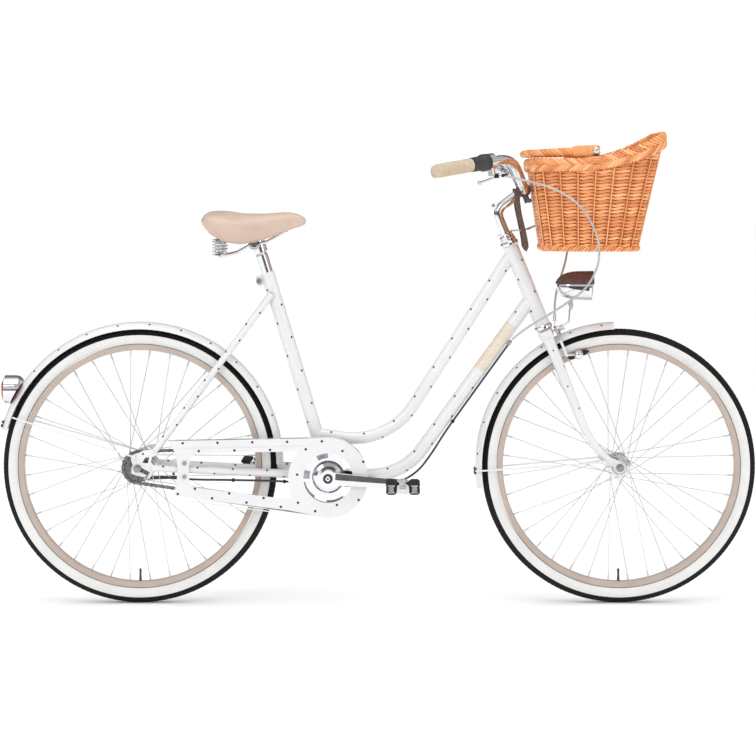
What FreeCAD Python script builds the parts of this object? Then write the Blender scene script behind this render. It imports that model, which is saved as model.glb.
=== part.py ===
import FreeCAD, Part
import math
import os
import re

import Sketcher
from FreeCAD import Placement, Rotation, Vector

# A step-through city bicycle with 26 inch wheels, in millimetres.
# +X is forward, +Y is to the rider's left, +Z is up; the origin is on the ground in the mid-plane.

SIZES = {
    "wheelbase": (1125.0, "rear axle to front axle"),
    "front_axle_x": (565.5, "front axle ahead of the origin"),
    "axle_height": (322.0, "axles above the ground"),
    "tyre_radius": (322.0, "tyre tread radius"),
    "tyre_half_width": (21.0, "half of the tyre section"),
    "tyre_wall": (3.2, "tyre casing thickness"),
    "rim_radius": (285.6, "outer edge of the rim"),
    "rim_half_width": (13.5, "half of the rim width"),
    "spoke_radius": (1.0, "spoke"),
    "axle_radius": (5.0, "both wheel axles"),
    "axle_end_radius": (4.7, "plain ends of both axles, beyond the nuts"),
    "running_gap": (0.05, "radial clearance of running fits"),
    "head_angle": (68.0, "steering axis from the horizontal"),
    "fork_rake": (42.0, "front axle ahead of the steering axis"),
    "head_tube_low": (373.0, "head tube bottom along the steering axis"),
    "head_tube_length": (201.0, "head tube"),
    "head_tube_radius": (18.0, "head tube"),
    "steerer_radius": (12.7, "fork steerer"),
    "quill_radius": (11.1, "stem quill"),
    "bracket_x": (-115.5, "bottom bracket axis"),
    "bracket_z": (300.0, "bottom bracket axis above the ground"),
    "shell_radius": (20.0, "bottom bracket shell"),
    "shell_width": (68.0, "bottom bracket shell"),
    "spindle_radius": (8.4, "crank spindle"),
    "seat_angle": (73.0, "seat tube from the horizontal"),
    "seat_tube_radius": (15.9, "seat tube"),
    "seat_tube_length": (498.0, "bracket axis to the top of the seat tube"),
    "seatpost_radius": (13.6, "seatpost"),
    "tube_wall": (1.6, "frame tubes"),
    "top_tube_radius": (14.3, "upper frame tube"),
    "top_tube_bend": (170.0, "bend radius of the upper tube"),
    "top_tube_turn": (65.2, "bend of the upper tube"),
    "top_tube_low_run": (62.6, "upper tube from the seat tube to its bend"),
    "top_tube_high_run": (430.0, "upper tube from its bend to the head tube"),
    "down_tube_radius": (15.9, "lower frame tube"),
    "down_tube_bend": (150.0, "bend radius of the lower tube"),
    "down_tube_turn": (54.1, "bend of the lower tube"),
    "down_tube_low_run": (97.7, "lower tube from the bracket to its bend"),
    "down_tube_high_run": (439.0, "lower tube from its bend to the head tube"),
    "rear_drop_half": (60.0, "rear dropout inner face from the mid-plane"),
    "front_drop_half": (50.0, "fork end inner face from the mid-plane"),
    "dropout_thickness": (5.0, "frame and fork end plates"),
    "chain_line": (43.0, "chain from the mid-plane"),
    "chain_pitch": (12.7, "half inch chain"),
    "chain_width": (9.0, "chain over its pins"),
    "chain_height": (8.4, "chain plates"),
    "ring_teeth": (38.0, "chainring"),
    "sprocket_teeth": (18.0, "rear sprocket"),
    "crank_length": (175.0, "spindle to pedal axis"),
    "crank_drop": (4.2, "right crank below the horizontal"),
    "crank_face": (83.0, "outer face of the crank arms from the mid-plane"),
    "crank_thickness": (13.0, "crank arm"),
    "pedal_width": (94.0, "pedal body"),
    "pedal_length": (78.0, "pedal body"),
    "guard_face": (67.5, "outer face of the chain guard from the mid-plane"),
    "guard_disc_radius": (93.0, "round end of the chain guard"),
    "guard_window_radius": (57.5, "round window of the chain guard"),
    "guard_lip": (26.0, "turned-in edge of the chain guard"),
    "sheet_thickness": (1.5, "chain guard sheet"),
    "mudguard_radius": (338.0, "outside of both mudguards"),
    "mudguard_half_width": (26.0, "half of the mudguard width"),
    "mudguard_rise": (16.0, "crown of the mudguard above its edges"),
    "mudguard_sheet": (1.2, "mudguard thickness"),
    "stay_radius": (2.0, "mudguard stays"),
    "bar_radius": (11.1, "handlebar"),
    "bar_half_width": (300.0, "handlebar end from the mid-plane"),
    "grip_radius": (15.8, "grips"),
    "cable_radius": (2.5, "cable housings"),
    "basket_wall": (9.0, "wicker wall"),
    "basket_floor_z": (829.0, "basket underside above the ground"),
    "lamp_radius": (34.5, "headlamp shell"),
    "lamp_x": (421.0, "rear tip of the headlamp"),
    "lamp_z": (742.0, "headlamp axis above the ground"),
    "rear_lamp_radius": (34.0, "rear lamp shell"),
    "rear_lamp_back_x": (-887.5, "rear lamp lens apex"),
    "rear_lamp_z": (500.0, "rear lamp axis above the ground"),
}

doc = FreeCAD.newDocument("CityBicycle")
sheet = doc.addObject("Spreadsheet::Sheet", "Sizes")
for row, (alias, (number, note)) in enumerate(SIZES.items(), 1):
    sheet.set("A%d" % row, note)
    sheet.set("B%d" % row, str(number))
    sheet.setAlias("B%d" % row, alias)
doc.recompute()

NODES = []
UP = Vector(0, 0, 1)
LEFT = Vector(0, 1, 0)
FORWARD = Vector(1, 0, 0)


# ---------------------------------------------------------------- sizes and expressions

def value(sum_of_sizes):
    """A sum of numbers and driving dimensions such as "rim_radius - 0.5*shell_width"."""
    total = 0.0
    for sign, factor, alias in re.findall(r"([+-]?)\s*([\d.]*)\s*\*?\s*([a-z_]*)", str(sum_of_sizes)):
        if not factor and not alias:
            continue
        term = float(factor or 1.0)
        if alias:
            term *= float(sheet.get(alias))
        total += -term if sign == "-" else term
    return total


def cell_formula(sum_of_sizes):
    """The same sum with every driving dimension written as its spreadsheet cell."""
    return re.sub(r"[a-z_]+", lambda word: "Sizes." + word.group(), str(sum_of_sizes))


def bind(item, name, sum_of_sizes):
    item.setExpression(name, cell_formula(sum_of_sizes))


# ---------------------------------------------------------------- frames of reference

def side_frame(x, z, y=0.0):
    """Local x forward, local y up and local z out to the right-hand side of the bicycle."""
    return Placement(Vector(x, y, z), Rotation(FORWARD, 90))


def pointing(base, direction, spin=0.0):
    """Local z along a direction."""
    return Placement(base, Rotation(UP, direction).multiply(Rotation(UP, spin)))


REAR_AXLE = Vector(value("front_axle_x - wheelbase"), 0, value("axle_height"))
FRONT_AXLE = Vector(value("front_axle_x"), 0, value("axle_height"))
BRACKET = Vector(value("bracket_x"), 0, value("bracket_z"))
STEER_TILT = Rotation(LEFT, value("head_angle") - 90)
STEER_UP = STEER_TILT.multVec(UP)
STEER_FORWARD = STEER_TILT.multVec(FORWARD)
STEER = Placement(FRONT_AXLE - STEER_FORWARD * value("fork_rake"), STEER_TILT)
SEAT = Placement(BRACKET, Rotation(LEFT, value("seat_angle") - 90))
REAR_WHEEL = side_frame(REAR_AXLE.x, REAR_AXLE.z)
FRONT_WHEEL = side_frame(FRONT_AXLE.x, FRONT_AXLE.z)
CRANK = side_frame(BRACKET.x, BRACKET.z)


# ---------------------------------------------------------------- sketches and bodies

def new_body(label, placement=Placement()):
    body = doc.addObject("PartDesign::Body", label)
    body.Label = label
    body.Placement = placement
    return body


def new_sketch(body, role):
    sketch = body.newObject("Sketcher::SketchObject", body.Name + "_sketch")
    plane = next(item for item in body.Origin.OriginFeatures if item.Role == role)
    sketch.AttachmentSupport = [(plane, "")]
    sketch.MapMode = "FlatFace"
    return sketch


def hold(sketch, kind, *places_and_size):
    """Adds a constraint whose last argument is a sum of driving dimensions."""
    constraint = Sketcher.Constraint(kind, *places_and_size[:-1], value(places_and_size[-1]))
    index = sketch.addConstraint(constraint)
    bind(sketch, "Constraints[%d]" % index, places_and_size[-1])


def hold_point(sketch, edge, end, x, y):
    """Places an edge's end point, on an axis where a coordinate is zero."""
    for kind, axis, distance in (("DistanceX", -2, x), ("DistanceY", -1, y)):
        if value(distance) == 0.0:
            sketch.addConstraint(Sketcher.Constraint("PointOnObject", edge, end, axis))
        else:
            hold(sketch, kind, -1, 1, edge, end, distance)


def add_outline(sketch, points):
    """A closed polygon through (x, y) points given as sums of driving dimensions."""
    corners = [Vector(value(x), value(y), 0) for x, y in points]
    first = sketch.GeometryCount
    for start, end in zip(corners, corners[1:] + corners[:1]):
        sketch.addGeometry(Part.LineSegment(start, end), False)
    for number, (x, y) in enumerate(points):
        following = first + (number + 1) % len(points)
        sketch.addConstraint(Sketcher.Constraint("Coincident", first + number, 2, following, 1))
        hold_point(sketch, first + number, 1, x, y)


def add_circle(sketch, radius, x=0, y=0):
    circle = Part.Circle(Vector(value(x), value(y), 0), UP, value(radius))
    edge = sketch.addGeometry(circle, False)
    hold(sketch, "Radius", edge, radius)
    hold_point(sketch, edge, 3, x, y)


def padded(label, height, placement, outlines=(), circles=(), both_ways=False):
    """A plate: outlines and circles in the local xy plane, the inner ones as holes."""
    body = new_body(label, placement)
    sketch = new_sketch(body, "XY_Plane")
    for outline in outlines:
        add_outline(sketch, outline)
    for circle in circles:
        add_circle(sketch, *circle)
    pad = body.newObject("PartDesign::Pad", label + "_pad")
    pad.Profile = sketch
    pad.Midplane = both_ways
    bind(pad, "Length", height)
    return body


def turned(label, outline, placement):
    """A piece turned about local z from an outline of (radius, z) points."""
    body = new_body(label, placement)
    sketch = new_sketch(body, "XZ_Plane")
    add_outline(sketch, outline)
    turn = body.newObject("PartDesign::Revolution", label + "_turn")
    turn.Profile = sketch
    turn.ReferenceAxis = (sketch, ["V_Axis"])
    turn.Angle = 360
    return body


def bent_tube(label, start, heading, low_run, bend, turn, high_run, radius):
    """A frame tube in the mid-plane: a straight run, one bend upwards and a straight run."""
    body = new_body(label, Placement(start, Rotation(LEFT, -heading)))
    ring = new_sketch(body, "YZ_Plane")
    add_circle(ring, radius)
    add_circle(ring, radius + " - tube_wall")
    path = new_sketch(body, "XZ_Plane")
    run, size, angle = value(low_run), value(bend), math.radians(value(turn))
    bend_end = Vector(run + size * math.sin(angle), size - size * math.cos(angle), 0)
    tip = bend_end + Vector(math.cos(angle), math.sin(angle), 0) * value(high_run)
    path.addGeometry(Part.LineSegment(Vector(0, 0, 0), Vector(run, 0, 0)), False)
    circle = Part.Circle(Vector(run, size, 0), UP, size)
    path.addGeometry(Part.ArcOfCircle(circle, -math.pi / 2, angle - math.pi / 2), False)
    path.addGeometry(Part.LineSegment(bend_end, tip), False)
    path.addConstraint(Sketcher.Constraint("Coincident", 0, 1, -1, 1))
    path.addConstraint(Sketcher.Constraint("Horizontal", 0))
    path.addConstraint(Sketcher.Constraint("Tangent", 0, 2, 1, 1))
    path.addConstraint(Sketcher.Constraint("Tangent", 1, 2, 2, 1))
    hold(path, "Distance", 0, low_run)
    hold(path, "Radius", 1, bend)
    hold(path, "Distance", 2, high_run)
    index = path.addConstraint(Sketcher.Constraint("Angle", -1, 2, angle))
    path.setExpression("Constraints[%d]" % index, "%s * 1 deg" % cell_formula(turn))
    pipe = body.newObject("PartDesign::AdditivePipe", label + "_pipe")
    pipe.Profile = ring
    pipe.Spine = (path, ["Edge1", "Edge2", "Edge3"])
    return body


# ---------------------------------------------------------------- primitives, booleans, groups

def cylinder(label, radius, height, placement):
    item = doc.addObject("Part::Cylinder", label)
    bind(item, "Radius", radius)
    bind(item, "Height", height)
    item.Placement = placement
    return item


def cone(label, low_radius, high_radius, height, placement):
    item = doc.addObject("Part::Cone", label)
    bind(item, "Radius1", low_radius)
    bind(item, "Radius2", high_radius)
    bind(item, "Height", height)
    item.Placement = placement
    return item


def box(label, length, width, height, placement):
    """A box centred on local x and y, standing on local z = 0."""
    item = doc.addObject("Part::Box", label)
    bind(item, "Length", length)
    bind(item, "Width", width)
    bind(item, "Height", height)
    corner = Vector(-value(length) / 2, -value(width) / 2, 0)
    item.Placement = placement.multiply(Placement(corner, Rotation()))
    return item


def hexagon(label, flat_radius, height, placement):
    item = doc.addObject("Part::Prism", label)
    item.Polygon = 6
    bind(item, "Circumradius", flat_radius)
    bind(item, "Height", height)
    item.Placement = placement
    return item


def cut(label, base, *tools):
    for number, tool in enumerate(tools):
        result = doc.addObject("Part::Cut", "%s_cut%d" % (label, number))
        result.Base = base
        result.Tool = tool
        base = result
    base.Label = label
    return base


def fused(label, *pieces):
    item = doc.addObject("Part::MultiFuse", label)
    item.Shapes = list(pieces)
    item.Label = label
    return item


def feature(label, shape, placement=Placement()):
    item = doc.addObject("Part::Feature", label)
    item.Shape = shape
    item.Placement = placement.multiply(shape.Placement)
    item.Label = label
    return item


def node(label, *pieces):
    """Names a finished sub-part: one piece, or several solids grouped as one sub-part."""
    if len(pieces) == 1:
        item = pieces[0]
    else:
        item = doc.addObject("Part::Compound", label + "_group")
        item.Links = list(pieces)
    for other in doc.Objects:
        if other is not item and other.Label == label:
            other.Label = label + "_piece"
    item.Label = label
    NODES.append(item)
    return item


# ---------------------------------------------------------------- shapes along paths

def rod(start, end, radius):
    return Part.makeCylinder(radius, (end - start).Length, start, end - start)


def bent_wire(points, radii):
    """Straight runs through the points, joined by tangent arcs of the given radii."""
    edges = []
    last = points[0]
    for before, corner, after, radius in zip(points, points[1:], points[2:], radii):
        back = (before - corner).normalize()
        ahead = (after - corner).normalize()
        half_turn = (math.pi - back.getAngle(ahead)) / 2
        reach = radius * math.tan(half_turn)
        middle = (back + ahead).normalize()
        depth = radius / math.cos(half_turn) - radius
        start = corner + back * reach
        end = corner + ahead * reach
        if (start - last).Length > 1e-4:
            edges.append(Part.LineSegment(last, start).toShape())
        edges.append(Part.Arc(start, corner + middle * depth, end).toShape())
        last = end
    edges.append(Part.LineSegment(last, points[-1]).toShape())
    return Part.Wire(edges)


def swept(wire, radius):
    """A round bar along a wire."""
    start = wire.Edges[0]
    direction = start.tangentAt(start.FirstParameter)
    section = Part.Wire(Part.makeCircle(radius, start.valueAt(start.FirstParameter), direction))
    return wire.makePipeShell([section], True, False)


def widest_radii(points):
    """For each corner, the largest arc that 0.45 of its shorter run allows."""
    radii = []
    for before, corner, after in zip(points, points[1:], points[2:]):
        half_turn = (math.pi - (before - corner).getAngle(after - corner)) / 2
        shorter = min((before - corner).Length, (after - corner).Length)
        radii.append(0.45 * shorter / math.tan(half_turn))
    return radii


def cable(label, points):
    """A cable housing along its route."""
    radii = widest_radii(points)
    wire = bent_wire(points, radii)
    solid = swept(wire, value("cable_radius"))
    expected = math.pi * value("cable_radius") ** 2 * wire.Length
    print("%s: length %.0f, radii %s, volume ratio %.4f" % (
        label, wire.Length, ", ".join("%.0f" % radius for radius in radii), solid.Volume / expected))
    return solid


def sleeve(start, end, outer, inner):
    return rod(start, end, outer).cut(rod(start, end, inner))


# ---------------------------------------------------------------- frame tubes

head_bore = cylinder("head_tube_space", "head_tube_radius", "head_tube_length + 40",
                     STEER.multiply(Placement(Vector(0, 0, value("head_tube_low - 20")), Rotation())))
seat_space = cylinder("seat_tube_space", "seat_tube_radius", "seat_tube_length", SEAT)
shell_space = cylinder("shell_space", "shell_radius", "shell_width",
                       CRANK.multiply(Placement(Vector(0, 0, value("-0.5*shell_width")), Rotation())))

head_base = STEER.multiply(Placement(Vector(0, 0, value("head_tube_low")), Rotation()))
node("head_tube", padded("head_tube", "head_tube_length", head_base,
                         circles=[["head_tube_radius"], ["head_tube_radius - 2.2"]]))

top_tube_start = SEAT.multVec(Vector(0, 0, 100.5))
top_tube = bent_tube("top_tube_pipe", top_tube_start, -8.1, "top_tube_low_run", "top_tube_bend",
                     "top_tube_turn", "top_tube_high_run", "top_tube_radius")
node("top_tube", cut("top_tube", top_tube, head_bore, seat_space))

down_tube = bent_tube("down_tube_pipe", BRACKET + Vector(0, 0, -2), 0, "down_tube_low_run",
                      "down_tube_bend", "down_tube_turn", "down_tube_high_run", "down_tube_radius")
node("down_tube", cut("down_tube", down_tube, head_bore, shell_space))

seat_bore = cylinder("seat_tube_bore", "seatpost_radius + running_gap", "seat_tube_length", SEAT)
seat_top = SEAT.multiply(Placement(Vector(value("-seat_tube_radius - 4"), 0, value("seat_tube_length - 26")),
                                   Rotation()))
seat_ears = box("seat_ears", "18", "15", "24", seat_top)
seat_slot = box("seat_slot", "34", "2.4", "60",
                SEAT.multiply(Placement(Vector(-17, 0, value("seat_tube_length - 46")), Rotation())))
binder_place = Placement(Vector(value("-seat_tube_radius - 8"), 20, value("seat_tube_length - 14")),
                         Rotation(FORWARD, 90))
binder_bore = cylinder("binder_bore", "3.1", "40", SEAT.multiply(binder_place))
seat_outside = fused("seat_tube_outside", cylinder("seat_tube_solid", "seat_tube_radius",
                                                   "seat_tube_length", SEAT), seat_ears)
node("seat_tube", cut("seat_tube", seat_outside, seat_bore, shell_space, seat_slot, binder_bore))

shell = padded("bracket_shell", "shell_width", CRANK, both_ways=True,
               circles=[["shell_radius"], ["shell_radius - 3"]])
cups = []
for side, name in ((1, "right"), (-1, "left")):
    outline = [("spindle_radius + running_gap", "20"), ("shell_radius - 3", "20"),
               ("shell_radius - 3", "34"), ("shell_radius - 0.5", "34"),
               ("shell_radius - 1.5", "37"), ("spindle_radius + running_gap", "37")]
    turn_over = Rotation(FORWARD, 0 if side == 1 else 180)
    cups.append(turned("bracket_cup_" + name, outline, CRANK.multiply(Placement(Vector(), turn_over))))
node("bottom_bracket", shell, *cups)


# ---------------------------------------------------------------- stays and dropouts

def dropout(name, side):
    """A rear end plate with its axle slot, a rack eyelet, a mudguard eyelet and a triangular opening."""
    outline = [(-14, -12), (0, -17), (16, -20), (30, -13), (37, -9), (37, 8), (31, 15), (34, 26),
               (47, 33), (41, 47), (26, 43), (14, 42), (3, 36), (-6, 34), (-15, 30), (-15, 18),
               (-11, 8), (-14, 0)]
    window = [(11, 13), (24, 12), (28, 26), (18, 25)]
    inner = value("rear_drop_half") if side == 1 else value("-rear_drop_half - dropout_thickness")
    base = REAR_WHEEL.multiply(Placement(Vector(0, 0, inner), Rotation()))
    plate = padded("dropout_plate_" + name, "dropout_thickness", base, [outline, window],
                   [["axle_radius + 0.15"], ["2.6", "12.9", "33.8"], ["2.1", "-8.1", "26.8"]])
    slot_turn = Rotation(UP, -26)
    slot = box("axle_slot_" + name, "30", "10.3", "dropout_thickness + 2",
               base.multiply(Placement(Vector(0, 0, -1), slot_turn)).multiply(
                   Placement(Vector(15, 0, 0), Rotation())))
    return cut("dropout_" + name, plate, slot)


rear_ends = node("rear_dropouts", dropout("right", 1), dropout("left", -1))


def tapered_stay(label, start, end, low_radius, high_radius):
    """A round hollow stay, cut where it meets the frame tubes and the end plate."""
    length = "%.3f" % (end - start).Length
    place = pointing(start, end - start)
    outside = cone(label + "_outside", low_radius, high_radius, length, place)
    inside = cone(label + "_inside", low_radius + " - tube_wall", high_radius + " - tube_wall", length,
                  place)
    return cut(label, outside, inside, shell_space, seat_space, rear_ends)


chain_stay_pieces = []
seat_stay_pieces = []
for side, name in ((-1, "right"), (1, "left")):
    chain_stay_pieces.append(tapered_stay(
        "chain_stay_" + name, Vector(-131, 20 * side, 301.5), Vector(-527, 62.5 * side, 322.5), "11", "7.6"))
    seat_stay_pieces.append(tapered_stay(
        "seat_stay_" + name, Vector(-250, 18 * side, 726), Vector(-519, 62.5 * side, 363), "8", "7"))
chain_bridge = feature("chain_stay_bridge", rod(Vector(-228, -20.5, 306), Vector(-228, 20.5, 306), 6))
seat_bridge = feature("seat_stay_bridge", rod(Vector(-346, -26.5, 596.5), Vector(-346, 26.5, 596.5), 5))
node("chain_stays", chain_bridge, *chain_stay_pieces)
node("seat_stays", seat_bridge, *seat_stay_pieces)


# ---------------------------------------------------------------- headset

def steering_ring(label, outline):
    return turned(label, outline, STEER)


lower_cup = steering_ring("lower_cup", [(13.2, 361.5), (20, 361.5), (21.5, 364), (21.5, 370), (18, 373),
                                        (13.2, 373)])
upper_cup = steering_ring("upper_cup", [(13.2, 574), (18, 574), (21.5, 577), (21.5, 582), (19, 586),
                                        (13.2, 586)])
node("headset_cups", lower_cup, upper_cup)


# ---------------------------------------------------------------- chain drive

PITCH = value("chain_pitch")
RING_RADIUS = PITCH / (2 * math.sin(math.pi / value("ring_teeth")))
SPROCKET_RADIUS = PITCH / (2 * math.sin(math.pi / value("sprocket_teeth")))
ROLLER_CLEARANCE = 0.5 * value("chain_height") + 0.4


def belt_face(ring_radius, sprocket_radius):
    """The flat outline of a belt round both chain wheels, in the frame of the crank."""
    gap = REAR_AXLE - BRACKET
    distance = gap.Length
    slope = math.asin((ring_radius - sprocket_radius) / distance)
    along = math.degrees(math.atan2(gap.z, gap.x))
    touch = math.pi / 2 - slope

    def rim(radius, centre_x, angle):
        return Vector(centre_x + radius * math.cos(angle), radius * math.sin(angle), 0)

    edges = [
        Part.LineSegment(rim(ring_radius, 0, touch), rim(sprocket_radius, distance, touch)).toShape(),
        Part.Arc(rim(sprocket_radius, distance, touch), rim(sprocket_radius, distance, 0),
                 rim(sprocket_radius, distance, -touch)).toShape(),
        Part.LineSegment(rim(sprocket_radius, distance, -touch), rim(ring_radius, 0, -touch)).toShape(),
        Part.Arc(rim(ring_radius, 0, -touch), rim(ring_radius, 0, math.pi),
                 rim(ring_radius, 0, touch)).toShape(),
    ]
    face = Part.Face(Part.Wire(edges))
    face.rotate(Vector(), UP, along)
    return face


def chain_shape():
    half = 0.5 * value("chain_height")
    outside = belt_face(RING_RADIUS + half, SPROCKET_RADIUS + half)
    inside = belt_face(RING_RADIUS - half, SPROCKET_RADIUS - half)
    width = value("chain_width")
    band = outside.cut(inside).extrude(UP * width)
    band.translate(UP * (value("chain_line") - width / 2))
    return band


def toothed_disc(teeth, pitch_radius, bore, thickness, middle):
    """A chain wheel whose tooth tips stay just inside the rollers."""
    tip = pitch_radius - ROLLER_CLEARANCE
    root = tip - 3.0
    step = 2 * math.pi / teeth
    points = []
    for number in range(int(teeth)):
        for radius, part in ((root, 0.0), (root, 0.3), (tip, 0.45), (tip, 0.65), (root, 0.8)):
            angle = (number + part) * step
            points.append(Vector(radius * math.cos(angle), radius * math.sin(angle), 0))
    outline = Part.makePolygon(points + points[:1])
    disc = Part.Face(outline).extrude(UP * thickness)
    disc.translate(UP * (middle - thickness / 2))
    return disc.cut(Part.makeCylinder(bore, thickness + 2, Vector(0, 0, middle - thickness / 2 - 1)))


node("chain", feature("chain", chain_shape(), CRANK))

ring_disc = toothed_disc(value("ring_teeth"), RING_RADIUS, 19.05, 3, value("chain_line"))
slot_inner, slot_outer = 44.0, 59.0
for number in range(5):
    middle_angle = 34 + 72 * number
    sector = Part.makeCylinder(slot_outer, 8, Vector(0, 0, value("chain_line - 4")), UP, 30)
    sector = sector.cut(Part.makeCylinder(slot_inner, 8, Vector(0, 0, value("chain_line - 4"))))
    sector.rotate(Vector(), UP, middle_angle - 15)
    ring_disc = ring_disc.cut(sector)
dish = turned("chainring_dish", [(19.05, 45), (38, 45), (38, 47), (33, 53), (26, 55.5), (19.05, 56)], CRANK)
node("chainring", feature("chainring_disc", ring_disc, CRANK), dish)

sprocket_disc = feature("sprocket_disc", toothed_disc(
    value("sprocket_teeth"), SPROCKET_RADIUS, 18.0, 3, value("chain_line")), REAR_WHEEL)
driver = turned("sprocket_driver", [("axle_radius + running_gap", 39), (18, 39), (18, 47), (14, 49),
                                    (14, 53), ("axle_radius + running_gap", 53)], REAR_WHEEL)
node("sprocket", fused("sprocket_whole", sprocket_disc, driver))


# ---------------------------------------------------------------- cranks and pedals

def crank_arm(name, side):
    """One arm with its boss, pedal eye and pedal spindle, in the crank's own frame."""
    face = value("crank_face")
    length = value("crank_length") * side
    outer = face - value("crank_thickness") if side == 1 else -face
    turn = CRANK.multiply(Placement(Vector(), Rotation(UP, value("-crank_drop"))))
    at_face = turn.multiply(Placement(Vector(0, 0, outer), Rotation()))
    boss_start = 46 if side == 1 else -face
    boss = cylinder("crank_boss_" + name, "19", "crank_face - 46",
                    turn.multiply(Placement(Vector(0, 0, boss_start), Rotation())))
    web = padded("crank_web_" + name, "crank_thickness", at_face,
                 [[(0, 15), (length, 10.5), (length, -10.5), (0, -15)]])
    eye = cylinder("crank_eye_" + name, "13", "crank_thickness",
                   at_face.multiply(Placement(Vector(length, 0, 0), Rotation())))
    spindle_start = face if side == 1 else -face - value("pedal_width") - 2
    pin = cylinder("pedal_spindle_" + name, "5", "pedal_width + 2",
                   turn.multiply(Placement(Vector(length, 0, spindle_start), Rotation())))
    return fused("crank_" + name, boss, web, eye, pin)


spindle = cylinder("crank_spindle", "spindle_radius", "92", CRANK.multiply(
    Placement(Vector(0, 0, -46), Rotation())))
node("crank_arms", fused("crank_whole", crank_arm("right", 1), crank_arm("left", -1), spindle))


def pedal(name, side):
    """A pedal: a centre tube, two end plates and two rubber treads, turning on its spindle."""
    turn = CRANK.multiply(Placement(Vector(), Rotation(UP, value("-crank_drop"))))
    axis = turn.multVec(Vector(side * value("crank_length"), 0, side * value("crank_face + 1.5")))
    # Local z runs out from the crank, local x forward and local y across the tread.
    place = Placement(axis, Rotation(FORWARD, 90 if side == 1 else -90))
    width = value("pedal_width")
    barrel = turned("pedal_barrel_" + name, [
        ("5 + running_gap", "0"), (12, 0), (10, 12), (10, "pedal_width - 12"), (11, "pedal_width"),
        ("5 + running_gap", "pedal_width")], place)
    pieces = [barrel]
    for number, height in enumerate((4.0, width - 7.0)):
        plate_place = place.multiply(Placement(Vector(0, 0, height), Rotation()))
        pieces.append(padded("pedal_plate_%s_%d" % (name, number), "3", plate_place, [
            [("-0.5*pedal_length", -7), ("-0.5*pedal_length", 7), (-14, 13), (14, 13),
             ("0.5*pedal_length", 7), ("0.5*pedal_length", -7), (14, -13), (-14, -13)]],
            [["12.3"]]))
    for number, reach in enumerate((-1, 1)):
        middle = reach * (value("0.5*pedal_length") - 10.5)
        tread_place = place.multiply(Placement(Vector(middle, 0, 7.2), Rotation()))
        tread = box("pedal_tread_%s_%d" % (name, number), "19", "25", "pedal_width - 14.4", tread_place)
        pieces.append(tread)
    return pieces


node("pedal_right", *pedal("right", 1))
node("pedal_left", *pedal("left", -1))


# ---------------------------------------------------------------- chain guard

guard_outline = [(-373, 86), (0, 93), (20, 60), (0, -92), (-8, -92), (-90, -75.5), (-362, -41),
                 (-357, -28), (-353, -12), (-351, 8), (-351, 30), (-354, 50), (-360, 66), (-366, 77)]
guard_gap = [(-300, 58), (-62, 62), (-85, 0), (-87, -50), (-310, -22.5), (-318, -19), (-322, -10),
             (-324, 4), (-324, 34), (-320, 46), (-312, 54)]
GUARD = CRANK.multiply(Placement(Vector(0, 0, value("guard_face - sheet_thickness")), Rotation()))
band = padded("guard_band", "sheet_thickness", GUARD, [guard_outline, guard_gap])
disc = cylinder("guard_disc", "guard_disc_radius", "sheet_thickness", GUARD)
window = cylinder("guard_window", "guard_window_radius", "40", GUARD.multiply(
    Placement(Vector(0, 0, -20), Rotation())))
lip_base = CRANK.multiply(Placement(Vector(0, 0, value("guard_face - guard_lip")), Rotation()))
lip_ring = padded("guard_lip_ring", "guard_lip", lip_base,
                  circles=[["guard_disc_radius"], ["guard_disc_radius - sheet_thickness"]])
lip_left = box("guard_lip_left", "200", "300", "60", lip_base.multiply(
    Placement(Vector(-100, 0, -10), Rotation())))


def guard_edge(label, start, end):
    """A turned-in edge along one straight side of the guard."""
    run = Vector(end[0] - start[0], end[1] - start[1], 0)
    turn = Rotation(FORWARD, run)
    inward = Vector(0, -0.75 if start[1] > 0 else 0.75, 0)
    middle = Vector((start[0] + end[0]) / 2, (start[1] + end[1]) / 2, 0) + inward
    return box(label, "%.3f" % run.Length, "sheet_thickness", "guard_lip",
               lip_base.multiply(Placement(middle, turn)))


top_edge = guard_edge("guard_top_edge", (-373, 86), (0, 93))
low_edge = guard_edge("guard_low_edge", (-362, -41), (-8, -92))
half_ring = cut("guard_half_ring", lip_ring, lip_left)
guard = fused("guard_whole", band, disc, half_ring, top_edge, low_edge)
bolt_places = [(-334.2, 34.8), (-334.2, 3.3)]
bolt_holes = [cylinder("guard_bolt_hole_%d" % number, "2.6", "10", GUARD.multiply(
    Placement(Vector(x, y, -4), Rotation()))) for number, (x, y) in enumerate(bolt_places)]
node("chain_guard", cut("chain_guard", guard, window, *bolt_holes))


# ---------------------------------------------------------------- frame bolts

bolts = []
for number, (x, y) in enumerate(bolt_places):
    shank_place = CRANK.multiply(Placement(Vector(x, y, 42), Rotation()))
    head_place = CRANK.multiply(Placement(Vector(x, y, value("guard_face")), Rotation()))
    bolts.append(fused("guard_bolt_%d" % number,
                       cylinder("guard_bolt_shank_%d" % number, "2.5", "guard_face - 42", shank_place),
                       cylinder("guard_bolt_head_%d" % number, "5", "2.5", head_place)))
strap_place = CRANK.multiply(Placement(Vector(-334.2, 19, 42.4), Rotation()))
strap = box("guard_strap", "14", "44", "1.6", strap_place)
strap_cut = cut("guard_strap_drilled", strap, *[
    cylinder("guard_strap_hole_%d" % number, "2.55", "6", CRANK.multiply(
        Placement(Vector(x, y, 41), Rotation()))) for number, (x, y) in enumerate(bolt_places)])
binder_axis = SEAT.multiply(Placement(Vector(value("-seat_tube_radius - 8"), 13.5,
                                             value("seat_tube_length - 14")), Rotation(FORWARD, 90)))
binder = fused("binder_bolt", cylinder("binder_shank", "3", "27", binder_axis),
               cylinder("binder_head", "5.5", "5", binder_axis),
               cylinder("binder_nut", "6.5", "5", binder_axis.multiply(
                   Placement(Vector(0, 0, 22), Rotation()))))
node("frame_bolts", strap_cut, binder, *bolts)


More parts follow.
